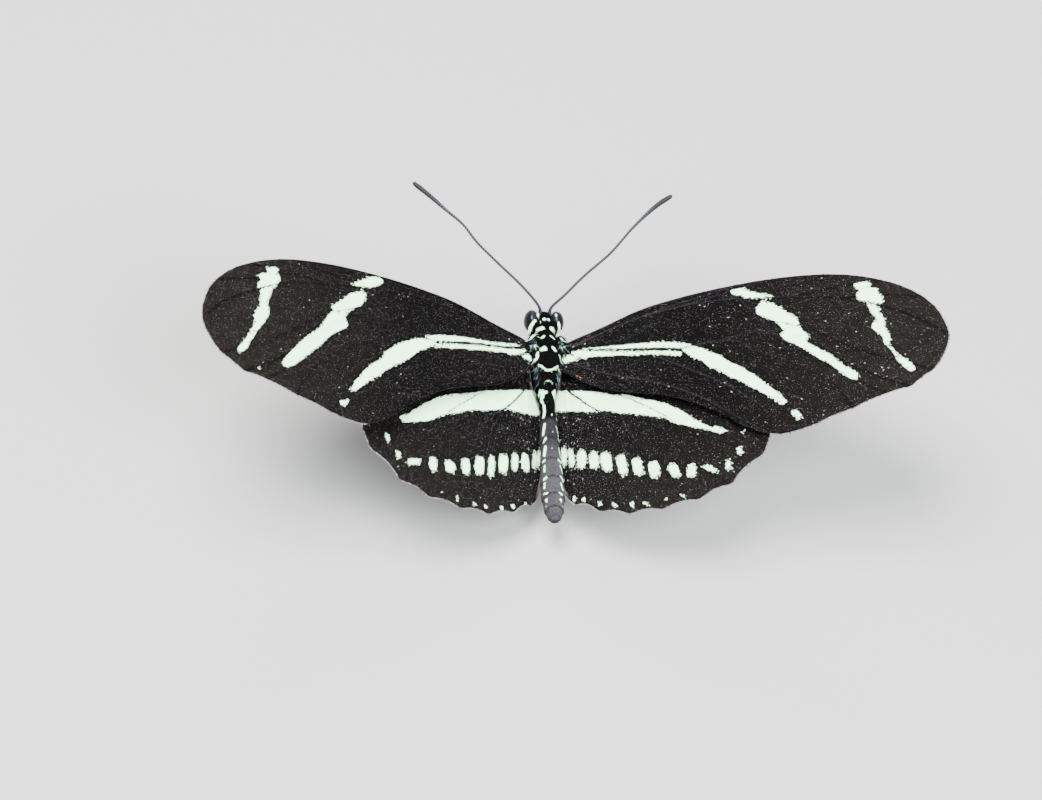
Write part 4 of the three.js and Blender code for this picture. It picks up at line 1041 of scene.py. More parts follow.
# Pale marks on the trunk: a half width and the line that it follows.
bodyMarks = [
    (0.13, [(-0.8, 7.1, 1.46), (-0.83, 6.72, 1.52)]), (0.13, [(1.2, 7.05, 1.6), (1.2, 6.64, 1.7)]),
    (0.19, [(-1.16, 6.24, 1.51), (-1.41, 5.84, 1.49), (-1.58, 5.56, 1.28), (-1.63, 5.36, 0.95),
            (-1.64, 5.32, 0.53)]),
    (0.14, [(1.45, 6.12, 1.52), (1.53, 5.85, 1.45), (1.58, 5.64, 1.3), (1.61, 5.49, 1.07),
            (1.6, 5.46, 0.66)]),
    (0.17, [(-0.14, 6.28, 1.64), (-0.14, 6.24, 1.64)]), (0.17, [(0.34, 6.28, 1.58), (0.34, 6.24, 1.58)]),
    (0.04, [(-0.1, 6.26, 1.64), (0.3, 6.26, 1.6)]), (0.035, [(-0.53, 6.06, 1.47), (-0.54, 5.95, 1.46)]),
    (0.24, [(-0.78, 5.22, 0.9), (-0.59, 5.2, 1.17), (-0.36, 5.26, 1.3)]),
    (0.21, [(0.64, 5.38, 1.2), (0.87, 5.34, 0.95), (0.98, 5.28, 0.8)]),
    (0.12, [(-1.85, 3.1, 2.0), (-1.5, 3.6, 1.75), (-1.1, 4.08, 1.2)]),
    (0.11, [(-0.5, 3.78, 1.66), (-0.22, 4.04, 1.67)]), (0.07, [(0.5, 4.11, 1.6), (0.92, 3.8, 1.44)]),
    (0.07, [(1.15, 3.9, 1.3), (1.5, 3.45, 1.75), (1.85, 3.0, 2.0)]),
    (0.09, [(-1.5, 2.2, 2.31), (-1.36, 2.42, 2.23)]), (0.035, [(-2.02, 2.3, 2.3), (-1.86, 2.06, 2.32)]),
    (0.035, [(1.4, 2.44, 2.26), (1.56, 2.16, 2.32)]), (0.04, [(1.68, 2.2, 2.32), (1.82, 2.33, 2.35)]),
    (0.23, [(-0.64, 1.92, 2.2), (-0.42, 2.16, 2.24), (-0.3, 1.9, 2.3)]),
    (0.17, [(0.58, 2.26, 2.18), (0.72, 2.06, 2.15), (0.82, 1.94, 2.13)]),
    (0.16, [(-1.14, 1.56, 1.98), (-1.14, 1.12, 1.98), (-1.25, 0.87, 1.84), (-1.44, 0.94, 1.47)]),
    (0.08, [(-1.66, 1.9, 1.1), (-1.6, 1.48, 1.25), (-1.55, 1.13, 1.22)]),
    (0.09, [(1.34, 1.6, 1.8), (1.44, 1.4, 1.58), (1.46, 1.1, 1.5)]),
    (0.06, [(1.86, 1.74, 2.0), (1.8, 1.6, 1.95)]),
    (0.1, [(-1.02, 0.11, 1.87), (-0.78, -0.12, 2.05), (-0.53, -0.42, 2.12), (-0.29, -0.7, 2.29),
           (0.08, -0.79, 2.29), (0.45, -0.61, 2.24), (0.76, -0.24, 2.03), (1.08, 0.1, 1.8)]),
    (0.025, [(-0.46, -1.97, 1.7), (-0.26, -1.9, 1.84), (-0.02, -1.88, 1.9), (0.25, -1.94, 1.83),
             (0.5, -2.06, 1.62)]),
    (0.25, [(-0.83, -2.64, 0.71), (-0.56, -2.88, 1.05), (-0.64, -3.44, 0.9)]),
    (0.18, [(-0.4, -3.07, 1.13), (-0.24, -2.96, 1.21)]),
    (0.22, [(0.82, -2.55, 0.8), (0.61, -2.93, 0.99), (0.8, -3.34, 0.64)]),
    (0.15, [(-0.68, -3.84, 0.83), (-0.49, -4.51, 0.98), (-0.46, -5.35, 1.09), (-0.58, -6.14, 1.08)]),
    (0.1, [(0.79, -3.59, 0.63), (0.84, -4.3, 0.52), (0.87, -5.3, 0.55), (0.92, -6.2, 0.6)]),
    (0.15, [(-0.53, -7.04, 1.08), (-0.7, -8.32, 1.01)]),
    (0.18, [(-0.56, -9.89, 1.07), (-0.7, -10.89, 0.95)]),
    (0.14, [(-0.69, -12.24, 0.85), (-0.71, -12.82, 0.85)]),
    (0.14, [(-0.72, -14.22, 0.6), (-0.75, -14.75, 0.52)]),
    (0.17, [(-0.55, -16.15, 0.38), (-0.56, -16.23, 0.37)]),
    (0.1, [(0.93, -7.05, 0.8), (1.0, -8.3, 0.65)]), (0.11, [(0.99, -9.73, 0.78), (1.14, -10.85, 0.65)]),
    (0.13, [(1.11, -12.07, 0.76), (1.3, -12.65, 0.55)]),
    (0.12, [(1.05, -14.27, 0.86), (1.23, -14.87, 0.68)]),
    (0.15, [(1.01, -16.22, 0.65), (1.02, -16.3, 0.65)]),
    (0.09, [(-0.45, -8.89, 1.19), (-0.73, -9.17, 0.81)]),
    (0.09, [(-0.61, -11.49, 1.06), (-0.82, -11.67, 0.77)]),
    (0.09, [(-0.51, -13.65, 1.04), (-0.81, -13.84, 0.69)]),
    (0.09, [(-0.74, -15.34, 0.47), (-0.49, -15.49, 0.76)]),
    (0.09, [(-0.57, -16.8, 0.11), (-0.6, -16.82, 0.08)]),
    (0.08, [(0.94, -8.72, 0.9), (1.04, -8.85, 0.7)]), (0.08, [(0.82, -11.42, 1.15), (1.2, -11.65, 0.75)]),
    (0.08, [(1.0, -13.56, 1.04), (1.32, -13.85, 0.57)]),
    (0.08, [(0.81, -15.54, 0.98), (1.15, -15.6, 0.75)]),
    (0.08, [(1.25, -16.85, 0.28), (1.27, -16.88, 0.24)]),
    (0.045, [(0.27, -5.81, 1.27), (0.27, -5.85, 1.27)]),
    (0.045, [(0.28, -8.08, 1.36), (0.28, -8.12, 1.36)]),
    (0.045, [(0.15, -10.09, 1.34), (0.15, -10.13, 1.34)]),
]
bodyMarks += onBothSides([
    (0.17, [(1.7, 2.8, 0.1), (1.75, 2.2, -0.5)]), (0.17, [(1.75, 0.9, -0.3), (1.6, 0.2, -1.0)]),
    (0.14, [(1.25, -1.3, -0.8), (1.1, -2.0, -0.9)]), (0.1, [(0.74, 7.8, -1.2), (0.68, 8.3, -0.95)]),
])
# Where bluish hairs catch the light.
glintFields = onBothSides([
    (0.55, [(1.4, -0.2, 1.6), (1.2, -1.5, 1.1)]), (0.45, [(1.5, 3.0, 2.0), (1.9, 1.9, 2.1)]),
    (0.4, [(1.6, 1.0, 1.4), (1.5, 0.2, 1.2)]), (0.3, [(0.9, 4.6, 0.8), (1.3, 4.0, 0.8)]),
])

# Scales and hairs on the trunk, in metres.
trunkCoat = {
    "scales": {"Density": 1.4e8, "Length": 0.00016, "Width": 0.0001, "Lift": 0.00004, "Tilt": 0.12,
               "Scatter": 0.3, "Spread": 0.25, "Ragged": 0.04, "Seed": 8},
    "hairs": {"Density": 9.0e7, "Length": 0.0005, "Width": 0.000035, "Lift": 0.00003, "Tilt": 0.3,
              "Scatter": 0.35, "Spread": 0.35, "Ragged": 0.03, "Seed": 9},
    "tufts": {"Density": 4.5e7, "Length": 0.0008, "Width": 0.00004, "Lift": 0.00003, "Tilt": 0.45,
              "Scatter": 1.1, "Spread": 0.3, "Ragged": 0.0, "Seed": 11},
}

eyeStyle = {
    "middle": (1.39, 6.66, 0.38),
    "radii": (0.87, 1.26, 1.26),
    "sides": 48,
    "facets": 26000.0,
    "under": 1.04,  # the trunk is bare within the radii times this
    "dark": (0.0025, 0.0018, 0.0018),
    # painted reflection on the upper inner side of each eye
    "sheen": (0.006, 0.0058, 0.012),
    "rear": (0.02, 0.013, 0.01),
}


# Values between the rows of a table of places and values.
def lookUp(table, positions):
    rows = sorted(table)
    return np.interp(positions, [r[0] for r in rows], [r[1] for r in rows])


# A closed skin over rings of points.
def ringMesh(rings):
    count = len(rings[0])
    points = [p for ring in rings for p in ring]
    faces = []
    for r in range(len(rings) - 1):
        for i in range(count):
            j = (i + 1) % count
            faces.append((r * count + i, r * count + j, (r + 1) * count + j, (r + 1) * count + i))
    for r, backwards in ((0, True), (len(rings) - 1, False)):
        hub = len(points)
        points.append(np.mean(rings[r], axis=0))
        for i in range(count):
            corners = (hub, r * count + i, r * count + (i + 1) % count)
            faces.append(corners[::-1] if backwards else corners)
    return points, faces


def ringAngles(sides):
    return np.linspace(0, 2 * np.pi, sides, endpoint=False)


def ovalRings(stations, sides, shrink, boxy=1.0):
    cosines, sines = np.cos(ringAngles(sides)), np.sin(ringAngles(sides))
    sideways = np.sign(cosines) * np.abs(cosines) ** boxy
    upward = np.sign(sines) * np.abs(sines) ** boxy
    rings = []
    for y, halfWidth, above, below, axis, *bend in stations:
        rise = np.where(upward >= 0, above, below)
        across = (halfWidth - shrink) * sideways + (bend[0] if bend else 0)
        rings.append(np.stack([across, np.full(sides, y), axis + (rise - shrink) * upward], 1))
    return rings


def ellipsoidRings(middle, radii, sides=32):
    angles = ringAngles(sides)
    rings = []
    for t in np.linspace(0.02, np.pi - 0.02, sides // 2):
        x = middle[0] + radii[0] * np.sin(t) * np.cos(angles)
        z = middle[2] + radii[2] * np.sin(t) * np.sin(angles)
        rings.append(np.stack([x, np.full(sides, middle[1] + radii[1] * np.cos(t)), z], 1))
    return rings


# Rings round a centre line, each with its own radius.
def tubeRings(centres, radii, sides):
    ahead = np.gradient(centres, axis=0)
    ahead /= np.linalg.norm(ahead, axis=1)[:, None]
    across = np.cross(ahead[0], (0.3, 0.2, 1.0))
    cosines, sines = np.cos(ringAngles(sides))[:, None], np.sin(ringAngles(sides))[:, None]
    rings = []
    for centre, direction, radius in zip(centres, ahead, radii):
        across = across - direction * (across @ direction)
        across /= np.linalg.norm(across)
        up = np.cross(direction, across)
        rings.append(centre + radius * (cosines * across + sines * up))
    return rings


def joined(parts):
    points, faces = [], []
    for partPoints, partFaces in parts:
        start = len(points)
        points += [tuple(p) for p in partPoints]
        faces += [tuple(start + i for i in face) for face in partFaces]
    return points, faces


# Rings of the abdomen, with four to each of its segments.
def abdomenStations():
    stations = []
    front = trunk["abdomenFront"]
    for end in trunk["ringEnds"]:
        for share in (0.03, 0.3, 0.6, 0.94):
            y = front + share * (end - front)
            width = lookUp(trunk["widths"], y)
            height = width * trunk["heightShare"]
            stations.append((y, width, height, height, lookUp(trunk["axis"], y), lookUp(trunk["bend"], y)))
        front = end
    return stations


# One skin over head, collar, thorax and abdomen, fused from overlapping forms.
def trunkSkin():
    shrink = trunk["coat"]
    sides = 40
    parts = []
    for name in ("thorax", "collar", "head"):
        parts.append(ringMesh(ovalRings(trunk[name], sides, shrink, trunk["boxy"])))
    parts.append(ringMesh(ovalRings(abdomenStations(), sides, shrink)))
    for middle, radii in trunk["browSpots"]:
        parts.append(ringMesh(ellipsoidRings(middle, radii, 20)))
    for middle, radii in trunk["shields"]:
        parts.append(ringMesh(ellipsoidRings(middle, [r - shrink for r in radii])))
    for side in (-1, 1):
        for (x, y, z), radii in trunk["pads"]:
            parts.append(ringMesh(ellipsoidRings((side * x, y, z), radii)))
        lip = evenly(smoothLine(trunk["lips"][side], 0.05), 30)
        parts.append(ringMesh(tubeRings(lip[:, :3], lip[:, 3], 14)))
        line = evenly(smoothLine([(side * x, y, z) for x, y, z in trunk["palp"]], 0.1), 24)
        radii = np.interp(np.linspace(0, 3, 24), range(4), trunk["palpRadii"])
        parts.append(ringMesh(tubeRings(line, radii, 16)))
    rough = addToScene("roughTrunk", meshOf("roughTrunk", *joined(parts)))
    fuse = rough.modifiers.new("fuse", "REMESH")
    fuse.mode = "VOXEL"
    fuse.voxel_size = trunk["voxel"]
    ease = rough.modifiers.new("ease", "SMOOTH")
    ease.factor = 0.5
    ease.iterations = 4
    mesh = evaluatedMesh(rough)
    bpy.data.objects.remove(rough)
    return mesh


def vectorsOf(items, name):
    values = np.zeros(len(items) * 3)
    items.foreach_get(name, values)
    return values.reshape(-1, 3)


# Share of the way through its own ring, from 0 at the front edge to 1 at the rear.
def ringShare(points):
    y = points[:, 1]
    across = (points[:, 0] - lookUp(trunk["bend"], y)) / lookUp(trunk["widths"], y)
    y = y + trunk["seamArch"] * np.clip(across**2, 0, 1)
    edges = np.array([trunk["abdomenFront"]] + trunk["ringEnds"])
    number = np.clip(np.searchsorted(-edges, -y) - 1, 0, len(edges) - 2)
    return (y - edges[number]) / (edges[number + 1] - edges[number])


# Depth inside marks given as a half width and a line, whose points are first drawn onto the skin.
def rodDepth(points, rods):
    depth = np.full(len(points), -9.0)
    for halfWidth, line in rods:
        onSkin = np.array([points[np.argmin(np.linalg.norm(points - p, axis=1))] for p in line])
        onSkin = np.vstack([onSkin, onSkin[-1:] + 1e-4])
        depth = np.maximum(depth, halfWidth - fromLine(points, onSkin)[0])
    return depth


# How far each point stands out of the fused skin: lips at the rings' ends and a groove along the thorax.
def trunkRelief(points, share, onAbdomen):
    x, y, z = points.T
    lip = trunk["lip"] * (share - 0.75) * onAbdomen * np.clip((y + 18.3) / 0.8, 0, 1)
    groove = trunk["groove"] * np.exp(-((x / trunk["grooveWidth"]) ** 2)) * smoothStep((z - 1.6) / 0.4)
    return lip - groove * smoothStep((y + 1.0) / 0.4) * smoothStep((3.2 - y) / 0.4)


def buildTrunk(material):
    mesh = trunkSkin()
    points = vectorsOf(mesh.vertices, "co")
    normals = vectorsOf(mesh.vertex_normals, "vector")
    share = ringShare(points)
    onAbdomen = smoothStep((-3.2 - points[:, 1]) / 0.6)
    points = points + normals * trunkRelief(points, share, onAbdomen)[:, None]
    x, y, z = points.T
    mesh.vertices.foreach_set("co", throughMatrix(toRow, points).ravel())
    mesh.update()
    rear = np.column_stack([x * 0.1, np.full(len(points), -1.0), -np.clip(z, -1, 1) * 0.1])
    lay = rear - normals * (rear * normals).sum(axis=1)[:, None]
    lay /= np.linalg.norm(lay, axis=1)[:, None] + 1e-6
    fields = {
        "mark": rodDepth(points, bodyMarks),
        "lay": turnedOnly(toRow, lay),
        "glint": np.clip(rodDepth(points, glintFields) / 0.3, 0, 1),
        "grey": 0.38 * smoothStep((-6.0 - y) / 0.6) + 0.62 * smoothStep((-8.4 - y) / 3.5),
        "edge": np.clip(share, 0, 1) * onAbdomen,
        "belly": smoothStep((-normals[:, 2] - 0.1) / 0.5) * onAbdomen,
    }
    for field, values in fields.items():
        storePoints(mesh, field, values)
    angle = (np.arctan2(x, -z + 0.2) / (2 * np.pi)) % 1.0
    storeUnwrap(mesh, np.column_stack([0.02 + 0.94 * angle, (y + 19) / 29]))
    nodes = ["head", "prothorax", "thorax", "abdomen"]
    nodes += ["tegula_left", "tegula_right", "palp_left", "palp_right"]
    return addPiece("trunk_skin", mesh, material, nodes), points, normals


# Each ground runs from its first colour to its second.
trunkColours = {
    "dark": ((0.0004, 0.0004, 0.0005), (0.0018, 0.0017, 0.0021)),
    "ashen": ((0.0205, 0.0196, 0.0222), (0.057, 0.0545, 0.063)),
    "belly": ((0.13, 0.11, 0.08), (0.38, 0.34, 0.24)),
    "glint": (0.20, 0.29, 0.33),
    "seam": (0.006, 0.0055, 0.006),
}


# Black in front, ashen on the abdomen, cream below, with dark seams between the rings.
def bodyColour(finish, mark, tone):
    dark, ashen, belly = (finish.blend(tone, *trunkColours[name]) for name in ("dark", "ashen", "belly"))
    glint = (tone + finish.attribute("glint") * 0.16).between(1.0, 1.03)
    dark = finish.blend(glint * 0.75, dark, trunkColours["glint"])
    upper = finish.blend(finish.attribute("grey"), dark, ashen)
    ground = finish.blend(finish.attribute("belly") * 0.55, upper, belly)
    seam = finish.attribute("edge").between(0.92, 0.98) * 0.9
    ground = finish.blend(seam, ground, trunkColours["seam"])
    return finish.blend(mark, ground, pale)


def trunkMaterial():
    finish = Finish("trunkSkin", Roughness=0.75, Specular_IOR_Level=0.02)
    grain = finish.noise(11000, 2)
    mark = (finish.attribute("mark") + (grain - 0.5) * 0.12).between(-0.03, 0.03)
    finish.colour(bodyColour(finish, mark, grain.between(0.3, 0.7)))
    finish.bump(grain, 0.4, 0.00005)
    return finish.material


def coatMaterial():
    finish = Finish("trunkCoat", Roughness=0.6, Specular_IOR_Level=0.025)
    mark = finish.attribute("mark").between(-0.02, 0.02)
    finish.colour(bodyColour(finish, mark, finish.attribute("tone")))
    return finish.material


# 1 where the skin lies under an eye's dome.
def underEyes(points):
    (x, y, z), radii = eyeStyle["middle"], eyeStyle["radii"]
    inside = np.zeros(len(points))
    for side in (-1, 1):
        away = (points - (side * x, y, z)) / radii
        inside = np.maximum(inside, (np.linalg.norm(away, axis=1) < eyeStyle["under"]).astype(float))
    return inside


def buildCoat(skin, points, normals, scales, hairs):
    y = points[:, 1]
    abdomen = smoothStep((-3.0 - y) / 0.8)
    fore = 1 - abdomen
    face = smoothStep((y - 6.8) / 0.6)
    shown = 1 - underEyes(points)
    setCover(skin, shown, 0.8 + 0.2 * abdomen - 0.2 * face)
    scales.over(skin, "trunk_scales", "body", trunkCoat["scales"])
    flank = smoothStep((-normals[:, 2] + 0.75) / 0.7)
    longer = 0.7 + 0.5 * flank * fore - 0.3 * face
    setCover(skin, fore * (0.35 + 0.65 * flank) * shown * (1 - 0.4 * face), longer)
    hairs.over(skin, "trunk_hairs", "body", trunkCoat["hairs"])
    glint = pointValues(skin.data, "glint")
    setCover(skin, (glint > 0.2) * fore * (y < 2.6), 0.8 + 0.2 * glint)
    hairs.over(skin, "root_tufts", "body", trunkCoat["tufts"])
    setCover(skin, np.zeros(len(points)), np.ones(len(points)))


def eyeMaterial():
    finish = Finish("eyeDome", Roughness=0.28, Specular_IOR_Level=0.12, Coat_Weight=0.04, Coat_Roughness=0.1)
    place = finish.node("ShaderNodeTexCoord").outputs["Object"]
    cells = finish.node("ShaderNodeTexVoronoi", {"Vector": place, "Scale": eyeStyle["facets"]})
    broad = finish.noise(1100, 2).between(0.45, 0.65)
    # Painted reflection: violet-grey sheen on the upper inner side, broken up by noise.
    sheen = finish.attribute("sheen") * (0.4 + broad * 0.6)
    colour = finish.blend(sheen, eyeStyle["dark"], eyeStyle["sheen"])
    finish.colour(finish.blend(finish.attribute("rear") * 0.8, colour, eyeStyle["rear"]))
    finish.bump(cells.outputs["Distance"], 0.12, 0.00002)
    return finish.material


def buildEye(sideName, side, material):
    (x, y, z), radii = eyeStyle["middle"], eyeStyle["radii"]
    points, faces = ringMesh(ellipsoidRings((side * x, y, z), radii, eyeStyle["sides"]))
    points = np.array(points)
    mesh = meshOf("eye", throughMatrix(toRow, points), faces)
    away = (points - (side * x, y, z)) / radii
    # Painted reflection: sheen is high on the upper inner side of each eye.
    storePoints(mesh, "sheen", smoothStep((away @ np.array((-0.45 * side, 0.25, 0.85)) - 0.35) / 0.5))
    storePoints(mesh, "rear", smoothStep((away @ np.array((0.5 * side, -0.6, -0.4)) - 0.45) / 0.4))
    addPiece(f"eye_{sideName}_dome", mesh, material, [f"eye_{sideName}"])


# A tube that stands for a CAD node, with how far along it each point is.
def tubePiece(name, node, line, radii, sides, material):
    points, faces = ringMesh(tubeRings(line, radii, sides))
    mesh = meshOf(name, throughMatrix(toRow, np.array(points)), faces)
    along = np.linspace(0, 1, len(line))
    storePoints(mesh, "along", np.concatenate([np.repeat(along, sides), [0, 1]]))
    addPiece(name, mesh, material, [node])


# Feelers: their paths, their radii at shares of the length, and the number of their segments.
antennaStyle = {
    "right": [
        (0.5, 7.0, 1.0), (0.62, 7.65, 1.66), (2.25, 9.3, 2.12), (4.32, 11.47, 2.71), (7.37, 14.29, 3.46),
        (9.77, 17.15, 4.23), (11.31, 18.77, 4.67), (12.85, 20.18, 5.05), (14.45, 21.3, 5.35),
    ],
    "left": [
        (-0.5, 7.0, 1.0), (-0.62, 7.6, 1.66), (-2.37, 9.74, 2.23), (-5.63, 12.68, 3.03),
        (-7.82, 14.73, 3.58), (-9.37, 16.6, 4.08), (-11.31, 18.13, 4.5), (-13.28, 19.73, 4.93),
        (-15.1, 21.05, 5.3),
    ],
    "radii": [
        (0, 0.16), (0.015, 0.22), (0.03, 0.21), (0.05, 0.16), (0.65, 0.15), (0.76, 0.18), (0.86, 0.25),
        (0.95, 0.29), (0.985, 0.26), (0.995, 0.17), (1, 0.05),
    ],
    "segments": 60,
    "shaft": (0.005, 0.0055, 0.009),
    "club": (0.012, 0.006, 0.0045),
    "rings": (0.09, 0.095, 0.13),
}


def antennaMaterial():
    finish = Finish("antennaShell", Roughness=0.5, Specular_IOR_Level=0.2)
    along = finish.attribute("along")
    ring = (along * (math.pi * 2 * antennaStyle["segments"])).calculate("SINE")
    dark = finish.blend(along.between(0.86, 1.0), antennaStyle["shaft"], antennaStyle["club"])
    pallid = ring.between(0.5, 0.9) * along.between(0.08, 0.16) * along.between(0.88, 0.78) * 0.5
    finish.colour(finish.blend(pallid, dark, antennaStyle["rings"]))
    finish.bump(ring, 0.5, 0.00003)
    return finish.material


def buildAntenna(sideName, material):
    count = 240
    line = evenly(smoothLine(antennaStyle[sideName], 0.2), count)
    along = np.linspace(0, 1, count)
    rings = 1 + 0.06 * np.sin(along * 2 * np.pi * antennaStyle["segments"])
    radii = lookUp(antennaStyle["radii"], along) * rings
    tubePiece(f"antenna_{sideName}_feeler", f"antenna_{sideName}", line, radii, 14, material)


# The coil of the tongue: its middle, its turns and its radii at shares of the length.
proboscisStyle = {
    "y": 6.75, "z": -2.4, "inner": 0.34, "outer": 1.2, "turns": 2.05,
    "radii": [(0, 0.2), (0.2, 0.17), (1, 0.07)], "points": 160,
    "colours": ((0.03, 0.014, 0.007), (0.07, 0.035, 0.016)),
}


def buildProboscis(material):
    style = proboscisStyle
    count = style["points"]
    share = np.linspace(0, 1, count)
    angle = np.pi / 2 + share * style["turns"] * 2 * np.pi
    reach = style["outer"] + (style["inner"] - style["outer"]) * share
    y, z = style["y"] + reach * np.cos(angle), style["z"] + reach * np.sin(angle)
    root = (0, style["y"] - 0.1, style["z"] + style["outer"] + 0.7)
    line = np.vstack([[root], np.stack([np.zeros(count), y, z], 1)])
    rings = 1 + 0.05 * np.sin(np.arange(count + 1) * 1.6)
    radii = lookUp(style["radii"], np.linspace(0, 1, count + 1)) * rings
    tubePiece("proboscis_coil", "proboscis", line, radii, 12, material)


# Joints of the legs in millimetres, each with its radius: those of the walking legs from the floor under
# the thorax, and those of the folded forelegs in the body's frame.
legStyle = {
    "midleg": [
        (0.85, 1.1, 5.1, 0.42), (1.2, 1.5, 4.6, 0.36), (3.4, 2.5, 5.6, 0.27), (5.4, 3.5, 6.3, 0.2),
        (5.9, 3.8, 6.1, 0.19), (7.4, 4.7, 3.6, 0.15), (8.8, 5.5, 1.15, 0.14), (9.4, 5.9, 0.45, 0.12),
        (10.5, 6.5, 0.13, 0.115), (12.0, 7.3, 0.11, 0.1),
    ],
    "hindleg": [
        (0.75, -1.1, 4.7, 0.42), (1.1, -1.5, 4.15, 0.36), (3.1, -3.2, 4.85, 0.27), (4.9, -4.9, 5.5, 0.2),
        (5.3, -5.35, 5.3, 0.19), (6.4, -7.1, 3.2, 0.15), (7.4, -8.7, 1.1, 0.14), (7.75, -9.3, 0.45, 0.12),
        (8.35, -10.4, 0.13, 0.115), (9.1, -11.8, 0.11, 0.1),
    ],
    "foreleg": [
        (0.55, 4.2, -0.5, 0.34), (0.85, 4.7, -1.5, 0.26), (0.8, 5.35, -2.1, 0.2), (0.66, 4.7, -2.5, 0.17),
        (0.6, 3.9, -2.75, 0.09),
    ],
}
spineStyle = {"rings": range(46, 86, 2), "perRing": 2, "length": 0.26, "radii": [0.025, 0.018, 0.004]}
legColours = ((0.012, 0.009, 0.008), (0.035, 0.026, 0.02))


# Ground frame of the legs: under the thorax, level with the floor.
def groundMatrix():
    origin = toRow @ Vector((0, 0, 0))
    return Matrix.Translation((origin.x, origin.y, 0)) @ Matrix.Scale(0.001, 4)


# Short spines along the shank and foot.
def legSpines(line, radii):
    rng = np.random.default_rng(3)
    parts = []
    for index in spineStyle["rings"]:
        ahead = line[index + 1] - line[index]
        ahead /= np.linalg.norm(ahead)
        for angle in rng.uniform(0, 2 * np.pi, spineStyle["perRing"]):
            across = np.cross(ahead, (0.1, 0.2, 1.0))
            across /= np.linalg.norm(across)
            outward = across * math.cos(angle) + np.cross(ahead, across) * math.sin(angle)
            start = line[index] + outward * radii[index] * 0.7
            end = start + (ahead * 0.8 + outward * 0.6) * spineStyle["length"]
            spine = np.array([start, (start + end) / 2, end])
            parts.append(ringMesh(tubeRings(spine, spineStyle["radii"], 5)))
    return parts


# Two small claws at the end of a foot, down to the floor.
def footClaws(line):
    tip, before = line[-1], line[-6]
    ahead = (tip - before) / np.linalg.norm(tip - before)
    across = np.cross(ahead, (0, 0, 1))
    parts = []
    for way in (-1, 1):
        bend = tip + ahead * 0.16 + across * 0.1 * way
        point = tip + ahead * 0.28 + across * 0.17 * way
        claw = np.array([tip - ahead * 0.1, bend, point])
        claw[2, 2] = 0.03
        parts.append(ringMesh(tubeRings(evenly(smoothLine(claw, 0.03), 8), np.linspace(0.06, 0.012, 8), 8)))
    return parts


def buildLeg(name, sideName, side, material):
    joints = np.array([(side * x, y, z, r) for x, y, z, r in legStyle[name]])
    count = 90
    line = evenly(smoothLine(joints[:, :3], 0.15), count)
    knots = np.concatenate([[0], np.cumsum(np.linalg.norm(np.diff(joints[:, :3], axis=0), axis=1))])
    radii = np.interp(np.linspace(0, knots[-1], count), knots, joints[:, 3])
    parts = [ringMesh(tubeRings(line, radii, 12))]
    matrix = toRow
    if name != "foreleg":
        parts += footClaws(line) + legSpines(line, radii)
        matrix = groundMatrix()
    points, faces = joined(parts)
    points = np.array(points)
    if name != "foreleg":
        points[:, 2] = np.maximum(points[:, 2], 0)
    mesh = meshOf("leg", throughMatrix(matrix, points), faces)
    addPiece(f"{name}_{sideName}_limb", mesh, material, [f"{name}_{sideName}"])


def shellMaterial(name, colours, roughness):
    finish = Finish(name, Roughness=roughness)
    grain = finish.noise(5000, 2)
    finish.colour(finish.blend(grain.between(0.35, 0.65), *colours))
    finish.bump(grain, 0.3, 0.00003)
    return finish.material


# The camera looks down on the body's own frame. Angles are in degrees, lengths in millimetres.
cameraStyle = {
    "down": 30.8, "roll": 10.0, "spin": -2.24,
    "offset": (-2.70, -2.81), "away": 460,
    "sensor": 36, "pictureWidth": 1042, "pixelsPerMm": 9.02,
}


def buildCamera():
    style = cameraStyle
    tilt, roll, spin = (math.radians(style[name]) for name in ("down", "roll", "spin"))
    right = Vector((math.cos(roll), 0, math.sin(roll)))
    above = Vector((-math.sin(roll), 0, math.cos(roll)))
    ahead = Vector((0, 1, 0))
    back = above * math.cos(tilt) - ahead * math.sin(tilt)
    upward = ahead * math.cos(tilt) + above * math.sin(tilt)
    viewRight = right * math.cos(spin) + upward * math.sin(spin)
    viewUp = -right * math.sin(spin) + upward * math.cos(spin)
    across, up = style["offset"]
    basis = Matrix((viewRight, viewUp, back)).transposed().to_4x4()
    basis.translation = viewRight * across + viewUp * up + back * style["away"]
    pose = toRow @ basis
    data = bpy.data.cameras.new("camera")
    data.sensor_width = style["sensor"]
    data.lens = style["sensor"] * style["pixelsPerMm"] * style["away"] / style["pictureWidth"]
    data.clip_start = 0.01
    data.clip_end = 20
    camera = addToScene("camera", data)
    camera.matrix_world = Matrix.Translation(pose.translation) @ pose.to_3x3().normalized().to_4x4()
    bpy.context.scene.camera = camera


# Lamps are discs that face the model: place, size, power and colour.
stageStyle = {
    "floorHalf": 3,
    "floor": (0.295, 0.293, 0.29),
    "surround": (0.9, 0.93, 0.96, 1),
    "surroundStrength": 1.1,
    "aim": (0, 0, 0.01),
    "lamps": {
        "key": ((-0.14, 0.02, 0.52), 0.32, 12.8, (1.0, 0.99, 0.97)),
        "fill": ((0.12, -0.27, 0.38), 0.34, 8.2, (0.95, 0.98, 1.0)),
        "back": ((0.05, 0.45, 0.25), 0.25, 1.9, (1.0, 1.0, 1.0)),
    },
}


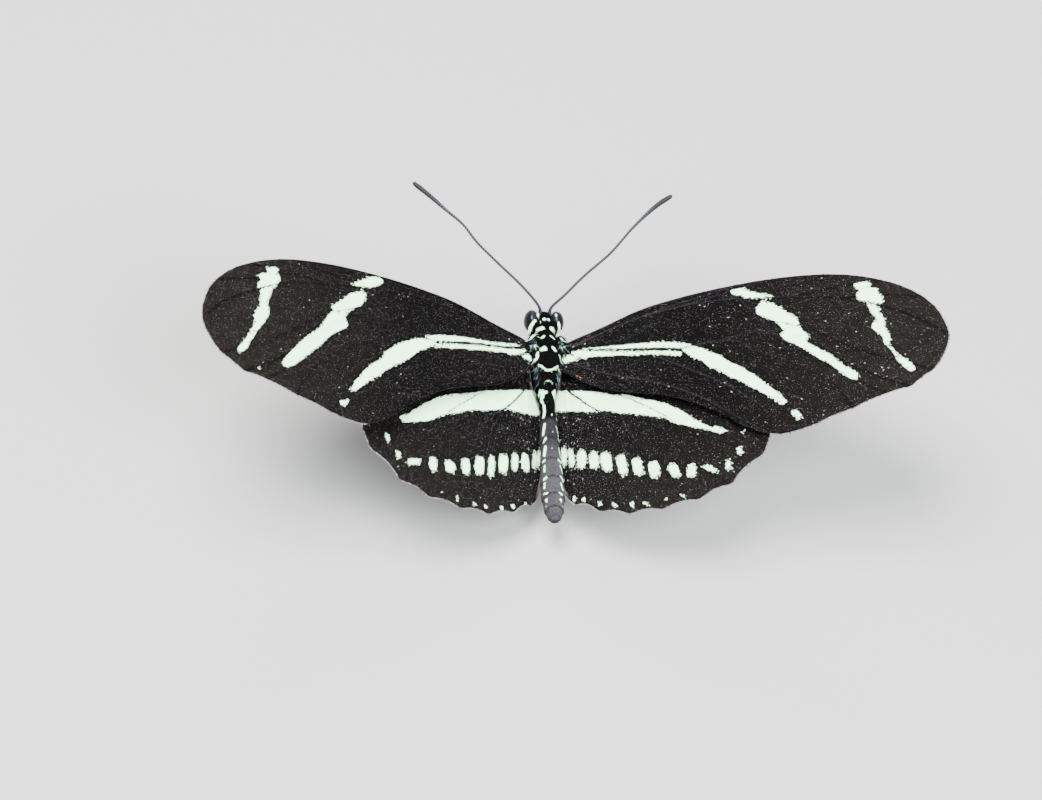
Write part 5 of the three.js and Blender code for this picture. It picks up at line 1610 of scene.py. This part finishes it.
def buildStage():
    half = stageStyle["floorHalf"]
    corners = [(-half, -half, 0), (half, -half, 0), (half, half, 0), (-half, half, 0)]
    mesh = meshOf("floor", corners, [(0, 1, 2, 3)])
    finish = Finish("floorPaint", Roughness=0.9)
    finish.colour(stageStyle["floor"])
    mesh.materials.append(finish.material)
    floor = addToScene("floor", mesh)
    for name, (place, size, power, colour) in stageStyle["lamps"].items():
        data = bpy.data.lights.new(name, "AREA")
        data.shape = "DISK"
        data.size = size
        data.energy = power
        data.color = colour
        lamp = addToScene(name, data)
        lamp.location = place
        lamp.rotation_euler = (Vector(stageStyle["aim"]) - Vector(place)).to_track_quat("-Z", "Y").to_euler()
    world = bpy.data.worlds.new("surround")
    world.use_nodes = True
    background = world.node_tree.nodes["Background"]
    background.inputs["Color"].default_value = stageStyle["surround"]
    background.inputs["Strength"].default_value = stageStyle["surroundStrength"]
    bpy.context.scene.world = world


wingSheet = sheetMaterial()
wingStrewing = Strewing("wingStrewing", scaleShape(), scaleMaterial())
fringeStrewing = Strewing("fringeStrewing", scaleShape(), fringeMaterial())
for kind, plan in (("forewing", forewing), ("hindwing", hindwing)):
    shape = wingPlan(plan)
    for sideName in ("right", "left"):
        sheet = buildSheet(kind, sideName, plan, shape, wingSheet)
        dressWing(f"{kind}_{sideName}", sheet, wingStrewing)
        buildFringe(kind, sideName, plan, shape, fringeStrewing)
        print("wing done", kind, sideName)

trunkPiece, trunkPoints, trunkNormals = buildTrunk(trunkMaterial())
coat = coatMaterial()
buildCoat(trunkPiece, trunkPoints, trunkNormals, Strewing("scaleStrewing", scaleShape(), coat),
          Strewing("hairStrewing", hairShape(), coat))
print("trunk done")

eyes = eyeMaterial()
antennae = antennaMaterial()
limbs = shellMaterial("limbShell", legColours, 0.45)
buildProboscis(shellMaterial("tongueShell", proboscisStyle["colours"], 0.35))
for sideName, side in (("right", 1), ("left", -1)):
    buildEye(sideName, side, eyes)
    buildAntenna(sideName, antennae)
    for name in ("foreleg", "midleg", "hindleg"):
        buildLeg(name, sideName, side, limbs)
print("head and legs done")

buildCamera()
buildStage()
print("camera and stage done")
